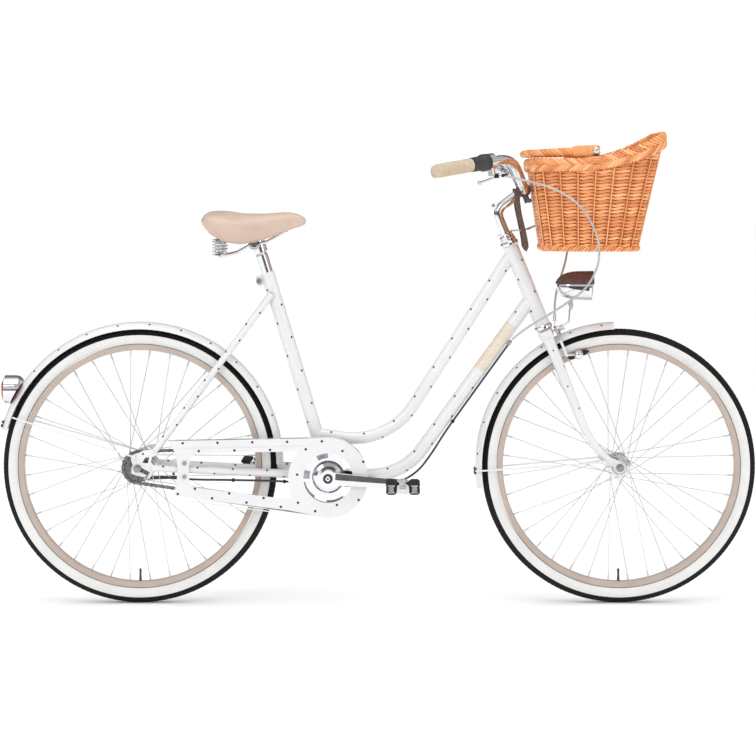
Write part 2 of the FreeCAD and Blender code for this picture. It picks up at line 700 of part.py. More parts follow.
# ---------------------------------------------------------------- mudguards

def mudguard(label, wheel, start_angle, sweep):
    """A curved sheet turned part of the way round a wheel, crowned across its width."""
    half = value("mudguard_half_width")
    rise = value("mudguard_rise")
    crown = (half ** 2 + rise ** 2) / (2 * rise)
    sheet_metal = value("mudguard_sheet")
    top = value("mudguard_radius")
    centre = Vector(top - crown, 0, 0)
    reach = math.asin(half / crown)
    body = new_body(label, wheel.multiply(Placement(Vector(), Rotation(UP, start_angle))))
    sketch = new_sketch(body, "XZ_Plane")
    outer = Part.ArcOfCircle(Part.Circle(centre, UP, crown), -reach, reach)
    inner = Part.ArcOfCircle(Part.Circle(centre, UP, crown - sheet_metal), -reach, reach)
    sketch.addGeometry(outer, False)
    sketch.addGeometry(inner, False)
    sketch.addGeometry(Part.LineSegment(outer.StartPoint, inner.StartPoint), False)
    sketch.addGeometry(Part.LineSegment(outer.EndPoint, inner.EndPoint), False)
    joined = ((0, 1, 2, 1), (1, 1, 2, 2), (0, 2, 3, 1), (1, 2, 3, 2), (0, 3, 1, 3))
    for edge, end, other, other_end in joined:
        sketch.addConstraint(Sketcher.Constraint("Coincident", edge, end, other, other_end))
    sketch.addConstraint(Sketcher.Constraint("PointOnObject", 0, 3, -1))
    hold(sketch, "Radius", 0, "%.6f" % crown)
    hold(sketch, "DistanceX", -1, 1, 0, 3, "mudguard_radius - %.6f" % crown)
    hold(sketch, "DistanceY", -1, 1, 0, 2, "mudguard_half_width")
    hold(sketch, "DistanceY", 0, 1, -1, 1, "mudguard_half_width")
    hold(sketch, "Radius", 1, "%.6f - mudguard_sheet" % crown)
    hold(sketch, "DistanceY", -1, 1, 1, 2, "%.6f" % ((crown - sheet_metal) * math.sin(reach)))
    hold(sketch, "DistanceY", 1, 1, -1, 1, "%.6f" % ((crown - sheet_metal) * math.sin(reach)))
    turn = body.newObject("PartDesign::Revolution", label + "_turn")
    turn.Profile = sketch
    turn.ReferenceAxis = (sketch, ["V_Axis"])
    turn.Angle = sweep
    return body


node("rear_mudguard", mudguard("rear_mudguard", REAR_WHEEL, 1, 164))
node("front_mudguard", mudguard("front_mudguard", FRONT_WHEEL, 92, 97))


def stay_pair(name, outer, eyelet, plate_y):
    """A pair of wire stays from the edges of a mudguard to the end plates, with their screws."""
    pieces = []
    for side in (-1, 1):
        edge = Vector(outer.x, side * value("mudguard_half_width + stay_radius + 0.4"), outer.z)
        foot = Vector(eyelet.x, side * plate_y, eyelet.z)
        wire = rod(edge, foot, value("stay_radius"))
        out = Vector(0, side, 0)
        eye = sleeve(foot - out * 2.4, foot + out * 2.4, 4.6, 2.1)
        head = rod(foot + out * 2.5, foot + out * 5.5, 4.2)
        shank = rod(foot - out * 8, foot + out * 2.5, 2.05)
        eyed_wire = wire.fuse(eye).cut(rod(foot - out * 9, foot + out * 9, 2.1))
        pieces.append(feature("%s_wire_%d" % (name, side), eyed_wire))
        pieces.append(feature("%s_screw_%d" % (name, side), head.fuse(shank)))
    return pieces


node("rear_mudguard_stays", *stay_pair("rear_stay", Vector(-857, 0, 437), Vector(-567.6, 0, 348.8), 68.0))
front_eyelet = STEER.multVec(Vector(value("fork_rake") - 30, 0, 26))
node("front_mudguard_stays", *stay_pair("front_stay", Vector(229, 0, 311), front_eyelet, 58.0))


# ---------------------------------------------------------------- rear lamp

rear_lamp_front_x = value("rear_lamp_back_x") + 53.5
REAR_LAMP = pointing(Vector(rear_lamp_front_x, 0, value("rear_lamp_z")), Vector(-1, 0, 0))
lamp_shell = turned("rear_lamp_shell", [
    (0, 0), (20, 0), (28, 4), (32.5, 10), ("rear_lamp_radius", 18), ("rear_lamp_radius", 44),
    ("rear_lamp_radius - 2.5", 44), ("rear_lamp_radius - 2.5", 18), (30, 11), (26, 6.5), (19, 3), (0, 3)],
    REAR_LAMP)
guard_space = cylinder("rear_mudguard_space", "mudguard_radius + 0.3", "90", REAR_WHEEL.multiply(
    Placement(Vector(0, 0, -45), Rotation())))
node("rear_lamp_housing", cut("rear_lamp_housing", lamp_shell, guard_space))
node("rear_lamp_lens", turned("rear_lamp_lens", [
    (0, 53.5), (10, 53), (19, 51), (26, 48), (31, 44.2), (31, 40), (28, 40), (27.5, 43), (24, 45.5),
    (17, 48.5), (9, 50.2), (0, 50.5)], REAR_LAMP))


# ---------------------------------------------------------------- axles and hubs

def axle(name, wheel, drop_half, reach):
    """An axle with its outer nuts and inner locknuts; its plain ends stand out beyond the nuts."""
    half = drop_half + reach
    plate = value("dropout_thickness")
    shoulder = drop_half + plate + 11
    outline = [(0, -half), ("axle_end_radius", -half), ("axle_end_radius", -shoulder),
               ("axle_radius", -shoulder), ("axle_radius", shoulder), ("axle_end_radius", shoulder),
               ("axle_end_radius", half), (0, half)]
    pieces = [turned(name + "_rod", outline, wheel)]
    for side in (1, -1):
        nut_start = drop_half + plate + 1.6
        heights = (("washer", 9.5, drop_half + plate + 0.05, 1.5), ("nut", 8.7, nut_start, 9),
                   ("locknut", 8.7, drop_half - 5, 4.9))
        for kind, radius, start, height in heights:
            base = start if side == 1 else -start - height
            place = wheel.multiply(Placement(Vector(0, 0, base), Rotation()))
            label = "%s_%s_%d" % (name, kind, side)
            make = cylinder if kind == "washer" else hexagon
            blank = make(label + "_blank", str(radius), str(height), place)
            hole = cylinder(label + "_hole", "axle_radius", str(height + 2), wheel.multiply(
                Placement(Vector(0, 0, base - 1), Rotation())))
            pieces.append(cut(label, blank, hole))
    return pieces


node("rear_axle", *axle("rear_axle", REAR_WHEEL, value("rear_drop_half"), 24))
connector = box("dynamo_connector", "17", "14", "6", FRONT_WHEEL.multiply(
    Placement(Vector(-12, 16, 38.8), Rotation())))
node("front_axle", connector, *axle("front_axle", FRONT_WHEEL, value("front_drop_half"), 22))

arm_outline = [(-16, 4), (-12, 12), (0, 16), (12, 11), (15, 0), (8, -13), (-2, -20), (2, -31), (78, -30),
               (82, -34), (78, -38), (-4, -41), (-18, -40), (-21, -33), (-17, -14)]
arm_place = REAR_WHEEL.multiply(Placement(Vector(0, 0, -54.2), Rotation()))
arm_plate = padded("coaster_plate", "3", arm_place, [arm_outline], [["axle_radius + 0.1"]])
arm_clip = feature("coaster_clip", rod(Vector(-487, 55.6, 291.2), Vector(-487, 55.6, 311), 3))
node("coaster_brake_arm", arm_plate, arm_clip)

bore = "axle_radius + running_gap"
node("rear_hub", turned("rear_hub", [
    (bore, -50.8), (22, -50.8), (25, -47), (25, -39.6), (36, -37.7), (36, -35.3), (28, -34), (29, 0),
    (28, 26.2), (36, 27.3), (36, 29.7), (26, 31), (22, 38.5), (bore, 38.5)], REAR_WHEEL))
node("front_hub", turned("front_hub", [
    (bore, -44.8), (12, -44.8), (14, -42), (19, -33.5), (27.5, -31.4), (27.5, -29), (22, -28.2),
    (22, 28.2), (27.5, 29), (27.5, 31.4), (19, 33.5), (15, 38.5), (bore, 38.5)], FRONT_WHEEL))


# ---------------------------------------------------------------- wheels

def tyre(name, wheel):
    """The casing, the inner tube with its valve, and room for the rim at the beads."""
    half = value("tyre_half_width")
    centre = value("tyre_radius") - half
    bead = value("rim_radius") + 0.4 - centre
    outer_end = math.acos(bead / half)
    inside = half - value("tyre_wall")
    inner_end = math.acos(bead / inside)

    def point(radius, angle):
        return Vector(centre + radius * math.cos(angle), 0, radius * math.sin(angle))

    edges = [
        Part.Arc(point(half, -outer_end), point(half, 0), point(half, outer_end)).toShape(),
        Part.LineSegment(point(half, outer_end), point(inside, inner_end)).toShape(),
        Part.Arc(point(inside, inner_end), point(inside, 0), point(inside, -inner_end)).toShape(),
        Part.LineSegment(point(inside, -inner_end), point(half, -outer_end)).toShape(),
    ]
    casing = Part.Face(Part.Wire(edges)).revolve(Vector(), UP, 360)
    tube = Part.makeTorus(centre + 1.5, 15).cut(Part.makeTorus(centre + 1.5, 14))
    stem = rod(Vector(0, -244, 0), Vector(0, -289, 0), 3.9).cut(Part.makeTorus(centre + 1.5, 14.5))
    return feature(name, Part.makeCompound([casing, tube.fuse(stem)]), wheel)


def rim(name, wheel):
    """A rim channel with its valve hole."""
    half = "rim_half_width"
    profile = turned(name + "_ring", [
        ("rim_radius - 14.1", "-6"), ("rim_radius - 11.5", "2 - rim_half_width"),
        ("rim_radius", "-rim_half_width"), ("rim_radius", "1.7 - rim_half_width"),
        ("rim_radius - 8", "3.5 - rim_half_width"), ("rim_radius - 10", "-5"), ("rim_radius - 10", "5"),
        ("rim_radius - 8", half + " - 3.5"), ("rim_radius", half + " - 1.7"), ("rim_radius", half),
        ("rim_radius - 11.5", half + " - 2"), ("rim_radius - 14.1", "6")], wheel)
    valve_hole = cylinder(name + "_valve_hole", "4.1", "60", wheel.multiply(
        Placement(Vector(0, -240, 0), Rotation(FORWARD, 90))))
    return cut(name, profile, valve_hole)


def spokes(name, wheel, hole_radius, right_flange, left_flange):
    """Thirty-six spokes laced across three others, each with its nipple."""
    rods = []
    for number in range(36):
        rim_angle = math.radians(10 * number + 5)
        to_right = number % 2 == 0
        leading = number % 4 < 2
        swing = math.radians(57 if leading else -57)
        flange = right_flange if to_right else left_flange
        outward = 1 if to_right else -1
        seat = flange + outward * (3.6 if leading else -3.6)
        hub_angle = rim_angle + swing
        start = Vector(hole_radius * math.cos(hub_angle), hole_radius * math.sin(hub_angle), seat)
        end = Vector(271 * math.cos(rim_angle), 271 * math.sin(rim_angle), outward * 3)
        nipple_start = end + (start - end).normalize() * 13
        wire = rod(start, nipple_start, value("spoke_radius"))
        rods.append(wire)
        rods.append(rod(nipple_start, end, 1.9))
    return feature(name, Part.makeCompound(rods), wheel)


for end, wheel, holes, right, left in (("rear", REAR_WHEEL, 32, 28.5, -36.5),
                                       ("front", FRONT_WHEEL, 24, 30.2, -30.2)):
    node(end + "_tyre", tyre(end + "_tyre", wheel))
    node(end + "_rim", rim(end + "_rim", wheel))
    node(end + "_spokes", spokes(end + "_spokes", wheel, holes, right, left))


# ---------------------------------------------------------------- fork

crown_block = STEER.multiply(Placement(Vector(0, 0, 342), Rotation()))
crown = fused("crown_solid", box("crown_bar", "27", "92", "18", crown_block),
              cylinder("crown_race", "17.5", "19.2", crown_block),
              cylinder("steerer_outside", "steerer_radius", "258", crown_block))
steerer_bore = cylinder("steerer_bore", "quill_radius + running_gap", "300", crown_block.multiply(
    Placement(Vector(0, 0, -10), Rotation())))
brake_bore = cylinder("brake_bolt_bore", "3.05", "80", STEER.multiply(
    Placement(Vector(-40, 0, 351), Rotation(LEFT, 90))))
node("fork_crown", cut("fork_crown", crown, steerer_bore, brake_bore))


def blade(name, side):
    """A tapered blade curving forward to its slotted end plate."""
    lean = math.degrees(math.atan2(14.5, 345))
    place = STEER.multiply(Placement(Vector(0, 52.5 * side, 0), Rotation(FORWARD, lean * side)))
    sweep = math.radians(31)
    bend = 222.0
    bend_start = Vector(0, 0, 130)
    bend_end = bend_start + Vector(bend - bend * math.cos(sweep), 0, -bend * math.sin(sweep))
    half_way = bend_start + Vector(bend - bend * math.cos(sweep / 2), 0, -bend * math.sin(sweep / 2))
    spine = Part.Wire([Part.LineSegment(Vector(0, 0, 341.8), bend_start).toShape(),
                       Part.Arc(bend_start, half_way, bend_end).toShape()])
    wide = Part.Ellipse(Vector(0, 0, 341.8), 13.5, 10.0).toShape()
    narrow_place = Placement(bend_end, Rotation(LEFT, -31))
    narrow = Part.makeCircle(6.5)
    narrow.Placement = narrow_place
    pipe = Part.BRepOffsetAPI.MakePipeShell(spine)
    pipe.add(Part.Wire(wide))
    pipe.add(Part.Wire(narrow))
    pipe.build()
    pipe.makeSolid()
    tube = feature("fork_tube_" + name, pipe.shape(), place)
    inner = value("front_drop_half") if side == -1 else value("-front_drop_half - dropout_thickness")
    base = FRONT_WHEEL.multiply(Placement(Vector(0, 0, inner), Rotation(UP, 90 - value("head_angle"))))
    plate = padded("fork_end_plate_" + name, "dropout_thickness", base, [
        [(-11, -10), (0, -12), (11, -10), (12, 2), (7, 13), (-4, 24), (-13, 32), (-31, 32), (-36, 26),
         (-33, 19), (-20, 14), (-13, 8)]], [["axle_radius + 0.15"], ["2.1", "-30", "26"]])
    slot = box("fork_end_slot_" + name, "10.3", "20", "dropout_thickness + 2", base.multiply(
        Placement(Vector(0, -10, -1), Rotation())))
    fork_end = cut("fork_end_" + name, plate, slot)
    return fused("fork_blade_" + name, tube, fork_end)


node("fork_blades", blade("right", -1), blade("left", 1))

locknut = steering_ring("locknut", [(12.75, 586.8), (18.5, 586.8), (19, 589), (19, 592), (17.5, 593),
                                    (17.5, 597), (16, 600.5), (15, 604), (12.75, 604)])
node("headset_locknut", locknut)


# ---------------------------------------------------------------- stem and handlebar

def at_steer(forward, up, y=0.0):
    return STEER.multVec(Vector(forward, y, up))


CLAMP = Vector(342, 0, 970.5)
stem_corner = at_steer(0, 664)
stem_wire = bent_wire([at_steer(0, 540), stem_corner, CLAMP], [27])
stem_tube = feature("stem_tube", swept(stem_wire, value("quill_radius")))
clamp_body = cylinder("stem_clamp_body", "17", "40",
                      Placement(CLAMP + Vector(0, 20, 0), Rotation(FORWARD, 90)))
clamp_bore = cylinder("stem_clamp_bore", "bar_radius + 1.6", "80",
                      Placement(CLAMP + Vector(0, 40, 0), Rotation(FORWARD, 90)))
clamp_lug = box("stem_clamp_lug", "14", "26", "24",
                Placement(CLAMP + Vector(10, 0, -30), Rotation(LEFT, -20)))
stem_body = cut("stem_body", fused("stem_blank", stem_tube, clamp_body, clamp_lug), clamp_bore)
quill_bolt_place = pointing(at_steer(-4, 674), STEER_UP)
quill_bolt = cylinder("stem_top_bolt", "7", "7", quill_bolt_place)
bolt_y = feature("stem_clamp_bolt", rod(CLAMP + Vector(14, -17, -25), CLAMP + Vector(14, -13.1, -25), 5.5))
node("stem", fused("stem_whole", stem_body, quill_bolt), bolt_y)

BAR_CORNER = Vector(311, -140, 1045)
BAR_END = Vector(137, -value("bar_half_width"), 1014)
BAR_RUN = (BAR_END - BAR_CORNER).normalize()


def other_side(point):
    return Vector(point.x, -point.y, point.z)


def along_bar(distance, side=-1):
    """A point on the straight end of the handlebar, from its upper bend outwards."""
    point = BAR_CORNER + BAR_RUN * distance
    return point if side == -1 else other_side(point)


BAR_LENGTH = (BAR_END - BAR_CORNER).Length
BAR_RISE = CLAMP + Vector(0, -70, 0)
bar_points = [BAR_END, BAR_CORNER, BAR_RISE, other_side(BAR_RISE), other_side(BAR_CORNER),
              other_side(BAR_END)]
bar_wire = bent_wire(bar_points, [80, 50, 50, 80])
bar_space = swept(bar_wire, value("bar_radius + running_gap"))
bar_sleeve = rod(CLAMP + Vector(0, -29, 0), CLAMP + Vector(0, 29, 0), value("bar_radius + 1.55"))
bar_solid = swept(bar_wire, value("bar_radius")).fuse(bar_sleeve)
node("handlebar", feature("handlebar", bar_solid.cut(swept(bar_wire, value("bar_radius - tube_wall")))))


def ribbed_grip(label, side, start):
    """A ribbed grip with a closed end, from a distance along the bar to just past its end."""
    length = BAR_LENGTH + 3 - start
    ribs = int(length / 6)
    inner = "bar_radius + running_gap"
    outline = [(inner, 0), ("grip_radius", 0)]
    for number in range(1, ribs):
        z = number * length / ribs
        outline += [("grip_radius", "%.2f" % (z - 1.2)), ("grip_radius - 1", "%.2f" % z)]
    outline += [("grip_radius", "%.2f" % (length - 2)), ("grip_radius - 2", "%.2f" % length),
                (0, "%.2f" % length), (0, "%.2f" % (length - 2.5)), (inner, "%.2f" % (length - 2.5))]
    direction = BAR_RUN if side == -1 else other_side(BAR_RUN)
    return turned(label, outline, pointing(along_bar(start, side), direction))


node("grips", ribbed_grip("grip_right", -1, 137), ribbed_grip("grip_left", 1, 98))

shift_run = [("bar_radius + running_gap", 0), (17.5, 0), (20, 6), (20, 16), (17, 24), (16.4, 52),
             ("bar_radius + running_gap", 52)]
node("shift_grip", turned("shift_grip", shift_run, pointing(along_bar(83), BAR_RUN)))


# ---------------------------------------------------------------- controls

def bar_clamp(start, end, side, outer):
    return sleeve(along_bar(start, side), along_bar(end, side), outer, value("bar_radius + running_gap"))


SHIFT_EXIT = Vector(262, -193, 1003)
LEVER_PIVOT = Vector(306, 148, 1009)
LEVER_TIP = Vector(246, 228, 986)
shift_space = rod(along_bar(82.8), along_bar(140), 22)
shift_lobe = rod(along_bar(74), SHIFT_EXIT, 9).cut([bar_space, shift_space])
shift_boot = rod(SHIFT_EXIT, SHIFT_EXIT + Vector(22, -2, 1), 5)
housing = bar_clamp(66, 82.6, -1, 19).fuse(shift_lobe).fuse(shift_boot)
lever_body = rod(along_bar(66, 1), LEVER_PIVOT + Vector(-6, 4, 9), 8).cut(bar_space)
lever_clamp = bar_clamp(58, 74, 1, 16).fuse(lever_body)
lever_direction = (LEVER_TIP - LEVER_PIVOT).normalize()
to_grip = Vector(-0.374, -0.232, 0.898)
LEVER_AXIS = lever_direction.cross(to_grip).normalize()
to_clamp = along_bar(66, 1) - LEVER_PIVOT
to_clamp = (to_clamp - LEVER_AXIS * to_clamp.dot(LEVER_AXIS)).normalize()
across_ear = to_clamp.cross(LEVER_AXIS)
fork_ears = []
for reach in (-1, 1):
    middle = LEVER_PIVOT + LEVER_AXIS * (reach * 6.6)
    ear_plate = Part.makeBox(13, 26, 4)
    ear_plate.Placement = Placement(middle - LEVER_AXIS * 2 - across_ear * 6.5,
                                    Rotation(across_ear, to_clamp, LEVER_AXIS, "ZXY"))
    fork_ears += [rod(middle - LEVER_AXIS * 2, middle + LEVER_AXIS * 2, 8.5), ear_plate]
lever_pin = rod(LEVER_PIVOT - LEVER_AXIS * 9, LEVER_PIVOT + LEVER_AXIS * 9, 2.5)
ear_gap = rod(LEVER_PIVOT - LEVER_AXIS * 4.6, LEVER_PIVOT + LEVER_AXIS * 4.6, 17)
lever_fork = lever_clamp.fuse(fork_ears).cut([ear_gap, bar_space]).fuse(lever_pin)
node("control_clamps", feature("shift_housing", housing), feature("lever_fork", lever_fork))

lever_hub = rod(LEVER_PIVOT - LEVER_AXIS * 4.2, LEVER_PIVOT + LEVER_AXIS * 4.2, 7)
lever_hole = rod(LEVER_PIVOT - LEVER_AXIS * 10, LEVER_PIVOT + LEVER_AXIS * 10, 2.55)
lever_bar = Part.makeCone(4.2, 3.4, (LEVER_TIP - LEVER_PIVOT).Length, LEVER_PIVOT, lever_direction)
lever_ball = Part.makeSphere(6, LEVER_TIP)
node("brake_lever", feature("brake_lever", lever_hub.fuse([lever_bar, lever_ball]).cut(lever_hole)))


# ---------------------------------------------------------------- front brake

def caliper_polygon(label, outline, start, thickness):
    """A flat arm in the plane across the steering axis; local x is to the left and y is up."""
    turn = Rotation(Vector(0, 1, 0), Vector(0, 0, 1), Vector(1, 0, 0), "ZXY")
    place = STEER.multiply(Placement(Vector(start, 0, 351), turn))
    return padded(label, thickness, place, [outline], [["3.08"]])


def caliper(name, side, start):
    """One arm from the pivot round the mudguard to its brake pad."""
    mirror = [(side * x, y) for x, y in [
        (0, 9), (18, 6), (36, -8), (42, -24), (40, -48), (30, -66), (24, -68), (24, -60), (33, -46),
        (34.5, -26), (30, -14), (14, -5), (0, -9)]]
    back_outline = [(-side * 9, 0)]
    arm = caliper_polygon("caliper_plate_" + name, mirror + back_outline, start, "6")
    rim_point = FRONT_WHEEL.multVec(Vector(278.5 * math.cos(math.radians(109.9)),
                                           278.5 * math.sin(math.radians(109.9)), 0))
    tangent = Vector(math.sin(math.radians(109.9)), 0, -math.cos(math.radians(109.9)))
    radial = Vector(math.cos(math.radians(109.9)), 0, math.sin(math.radians(109.9)))
    pad_middle = rim_point + Vector(0, side * 20.2, 0)
    stud_end = at_steer(start + 4, 289, side * 27)
    pad_place = Placement(pad_middle, Rotation(tangent, LEFT, radial, "ZXY"))
    holder = box("pad_holder_" + name, "46", "4", "8", pad_place.multiply(
        Placement(Vector(0, 0, -4), Rotation())))
    stud = feature("pad_stud_" + name, rod(pad_middle + Vector(0, side * 1.2, 0), stud_end, 3.2))
    return fused("caliper_arm_" + name, arm, holder, stud), pad_place


def brake_pad(name, pad_place, side):
    return box("pad_block_" + name, "44", "3", "8", pad_place.multiply(
        Placement(Vector(0, -side * 3.55, -4), Rotation())))


right_arm, right_pad_place = caliper("right", -1, 22)
left_arm, left_pad_place = caliper("left", 1, 28.5)
node("caliper_right", right_arm)
node("caliper_left", left_arm)
node("brake_pad_right", brake_pad("right", right_pad_place, -1))
node("brake_pad_left", brake_pad("left", left_pad_place, 1))


# ---------------------------------------------------------------- front brackets and headlamp

brake_bolt_place = STEER.multiply(Placement(Vector(-18, 0, 351), Rotation(LEFT, 90)))
brake_bolt = cylinder("brake_bolt", "3", "58", brake_bolt_place)
brake_nut = cut("brake_nut", hexagon("brake_nut_blank", "6", "6", STEER.multiply(
    Placement(Vector(35.3, 0, 351), Rotation(LEFT, 90)))),
    cylinder("brake_nut_hole", "3", "20", STEER.multiply(Placement(Vector(28, 0, 351), Rotation(LEFT, 90)))))
LAMP_PIVOT = Vector(value("lamp_x") + 33, 0, value("lamp_z") - 42)
lamp_arm_wire = bent_wire([at_steer(45, 351), at_steer(62, 358), LAMP_PIVOT + Vector(-2, 0, -9)], [8])
lamp_arm = swept(lamp_arm_wire, 2.4)
lamp_ears = [rod(LAMP_PIVOT + Vector(0, reach * 2.4, 0), LAMP_PIVOT + Vector(0, reach * 5.4, 0), 6)
             for reach in (-1, 1)]
lamp_yoke = rod(LAMP_PIVOT + Vector(0, -5.4, -9.6), LAMP_PIVOT + Vector(0, 5.4, -9.6), 2.6)
lamp_ears += [Part.makeBox(8, 3, 10, LAMP_PIVOT + Vector(-4, low, -10)) for low in (-5.4, 2.4)]
lamp_pin = rod(LAMP_PIVOT + Vector(0, -7, 0), LAMP_PIVOT + Vector(0, 7, 0), 2)
lamp_boss = rod(at_steer(41.5, 351), at_steer(46, 351), 7).cut(rod(at_steer(30, 351), at_steer(60, 351), 3))
lamp_bracket = lamp_arm.fuse([lamp_boss, lamp_yoke, lamp_pin] + lamp_ears)
lamp_bracket = lamp_bracket.cut(rod(at_steer(30, 351), at_steer(60, 351), 3.0))
basket_wire = bent_wire([at_steer(20.5, 588, -8), Vector(352, -10, 878), Vector(371.5, -10, 884)], [12])
wire_loop = sleeve(at_steer(0, 604.4), at_steer(0, 607.4), 19.5, value("quill_radius") + 0.1)
basket_wires = []
for reach in (-1, 1):
    points = [at_steer(17, 605.9, reach * 5), Vector(345, reach * 26, 876), Vector(372, reach * 46, 886)]
    basket_wires.append(swept(bent_wire(points, [14]), 1.5))
basket_bracket = wire_loop.fuse(basket_wires)


def lamp_profile(points, closing):
    """A smooth curve through (radius, z) points, closed by straight edges, turned about z."""
    curve = Part.BSplineCurve()
    curve.interpolate([Vector(radius, 0, z) for radius, z in points])
    corners = [Vector(points[-1][0], 0, points[-1][1])]
    corners += [Vector(radius, 0, z) for radius, z in closing]
    corners.append(Vector(points[0][0], 0, points[0][1]))
    edges = [curve.toShape()]
    edges += [Part.LineSegment(start, end).toShape() for start, end in zip(corners, corners[1:])]
    return Part.Face(Part.Wire(edges)).revolve(Vector(), UP, 360)


shell = value("lamp_radius")
HEADLAMP = pointing(Vector(value("lamp_x"), 0, value("lamp_z")), FORWARD)
egg = [(0, 0), (13, 3), (24, 13), (31, 29), (shell - 1, 50), (shell, 80)]
hollow = [(0, 3), (11.5, 6), (21.5, 15), (28.5, 31), (shell - 3.6, 50), (shell - 2.6, 80)]
egg_shell = lamp_profile(egg, [(0, 80)]).cut(lamp_profile(hollow, [(shell - 2.6, 90), (0, 90)]))
bulb = Part.makeSphere(6, Vector(0, 0, 40)).fuse(Part.makeCylinder(4, 36.5, Vector(0, 0, 1)))
lug = Part.makeBox(9, 4, 20, Vector(-4.5, -2, -4.5))
lug.Placement = Placement(LAMP_PIVOT, Rotation())
lug_hole = rod(LAMP_PIVOT + Vector(0, -5, 0), LAMP_PIVOT + Vector(0, 5, 0), 2.05)
world_egg = egg_shell.fuse(bulb)
world_egg.Placement = HEADLAMP
inside_egg = lamp_profile(hollow, [(0, 80)])
inside_egg.Placement = HEADLAMP
lug = lug.cut(lug_hole).cut(inside_egg)
node("headlamp_housing", feature("headlamp_housing", world_egg.fuse(lug)))
node("headlamp_lens", turned("headlamp_lens", [
    (0, 86.5), (12, 85.8), (22, 84), (30, 81.8), ("lamp_radius - 0.3", 80.2), (31, 80.2), (31, 76),
    (28, 76), (28, 79), (20, 81.5), (11, 83), (0, 83.5)], HEADLAMP))

cap_outer = lamp_profile([(0, -4), (15, -1), (27, 10), (34.4, 28), (shell + 2.6, 50),
                          (shell + 3.4, 86)], [(0, 86)])
cap_inner = lamp_profile([(0, -1.4), (14.4, 1.6), (25.6, 11.8), (32.4, 28.5), (shell + 0.5, 50),
                          (shell + 1.4, 86)], [(0, 86)])
cap_half = Part.makeBox(200, 200, 200, Vector(8, -100, -50))
cap = cap_outer.cut(cap_inner).common(cap_half)
cap_place = HEADLAMP.multiply(Placement(Vector(), Rotation(UP, 180)))
node("headlamp_cap", feature("headlamp_cap", cap, cap_place))


# ---------------------------------------------------------------- saddle

seatpost_body = turned("seatpost_bar", [
    (0, 385), ("seatpost_radius", 385), ("seatpost_radius", 540), ("quill_radius", 546),
    ("quill_radius", 580), (0, 580)], SEAT)
node("seatpost", seatpost_body)

CLAMP_MIDDLE = SEAT.multVec(Vector(-8, 0, 571))
clamp_round = rod(CLAMP_MIDDLE + Vector(0, -25, 0), CLAMP_MIDDLE + Vector(0, 25, 0), 14)
clamp_collar = rod(SEAT.multVec(Vector(0, 0, 548)), SEAT.multVec(Vector(0, 0, 580)), 16)
post_space = rod(SEAT.multVec(Vector(0, 0, 520)), SEAT.multVec(Vector(0, 0, 582)), value("quill_radius"))
clamp_nuts = [rod(CLAMP_MIDDLE + Vector(0, side * 25, 0), CLAMP_MIDDLE + Vector(0, side * 33, 0), 8)
              for side in (-1, 1)]
saddle_clamp = clamp_round.fuse([clamp_collar] + clamp_nuts).cut(post_space)
frame_pieces = [feature("saddle_clamp", saddle_clamp)]
rail_radius = 3.4


def saddle_spring(name, side):
    """A coil spring between its lower and upper seats."""
    foot = Vector(-372, side * 46, 820)
    turns, pitch, steps = 3.65, 7.4, 12
    angles = [2 * math.pi * step / steps for step in range(int(turns * steps) + 1)]
    line = Part.BSplineCurve()
    line.interpolate([Vector(13 * math.cos(angle), 13 * math.sin(angle), pitch * angle / (2 * math.pi))
                      for angle in angles])
    coil = swept(Part.Wire(line.toShape()), 2)
    coil.translate(foot + Vector(0, 0, 3))
    seats = [Part.makeCylinder(16, 2.4, foot + Vector(0, 0, height)) for height in (-2.0, 32.6)]
    return [feature("saddle_coil_" + name, coil)] + [
        feature("spring_seat_%s_%d" % (name, number), seat) for number, seat in enumerate(seats)]


for side, name in ((-1, "right"), (1, "left")):
    frame_pieces += saddle_spring(name, side)
    rail_points = [Vector(-372, side * 46, 814), Vector(-330, side * 40, 824), Vector(-300, side * 22, 841),
                   Vector(-262, side * 20, 848), Vector(-215, side * 9, 874)]
    rail = swept(bent_wire(rail_points, [30, 26, 40]), rail_radius).cut(saddle_clamp)
    frame_pieces.append(feature("saddle_rail_" + name, rail))
node("saddle_frame", *frame_pieces)


def saddle_section(x, half_width, top, bottom):
    """One cross-section of the saddle: domed above, flatter below."""
    middle = bottom + 0.62 * (top - bottom)
    points = []
    for number in range(24):
        angle = 2 * math.pi * number / 24
        height = top - middle if math.sin(angle) >= 0 else middle - bottom
        points.append(Vector(x, half_width * math.cos(angle), middle + height * math.sin(angle)))
    curve = Part.BSplineCurve()
    curve.interpolate(points, PeriodicFlag=True)
    return Part.Wire(curve.toShape())


# x, half width, top and bottom of each section, from the tail to the nose
SADDLE_SECTIONS = [(-415, 42, 905, 887), (-404, 76, 917, 875), (-385, 97, 922, 863),
                   (-355, 103, 922.5, 849), (-325, 94, 917.5, 843.5), (-297, 72, 915, 849),
                   (-268, 48, 915, 859), (-238, 34, 917.5, 869), (-208, 26, 918.5, 879),
                   (-184, 20, 913, 886), (-168, 11, 902, 890)]
# the same for the hollow under it, which leaves a skirt all round
HOLLOW_SECTIONS = [(-398, 56, 872, 820), (-385, 78, 865, 820), (-355, 88, 861.5, 800),
                   (-325, 80, 861, 790), (-297, 59, 862, 800), (-268, 37, 867, 820),
                   (-238, 24, 874, 830), (-214, 15, 879.5, 850)]
saddle_loft = Part.makeLoft([saddle_section(*section) for section in SADDLE_SECTIONS], True, False)
saddle_hollow = Part.makeLoft([saddle_section(*section) for section in HOLLOW_SECTIONS], True, False)
node("saddle_cover", feature("saddle_cover", saddle_loft.cut(saddle_hollow)))


# ---------------------------------------------------------------- basket

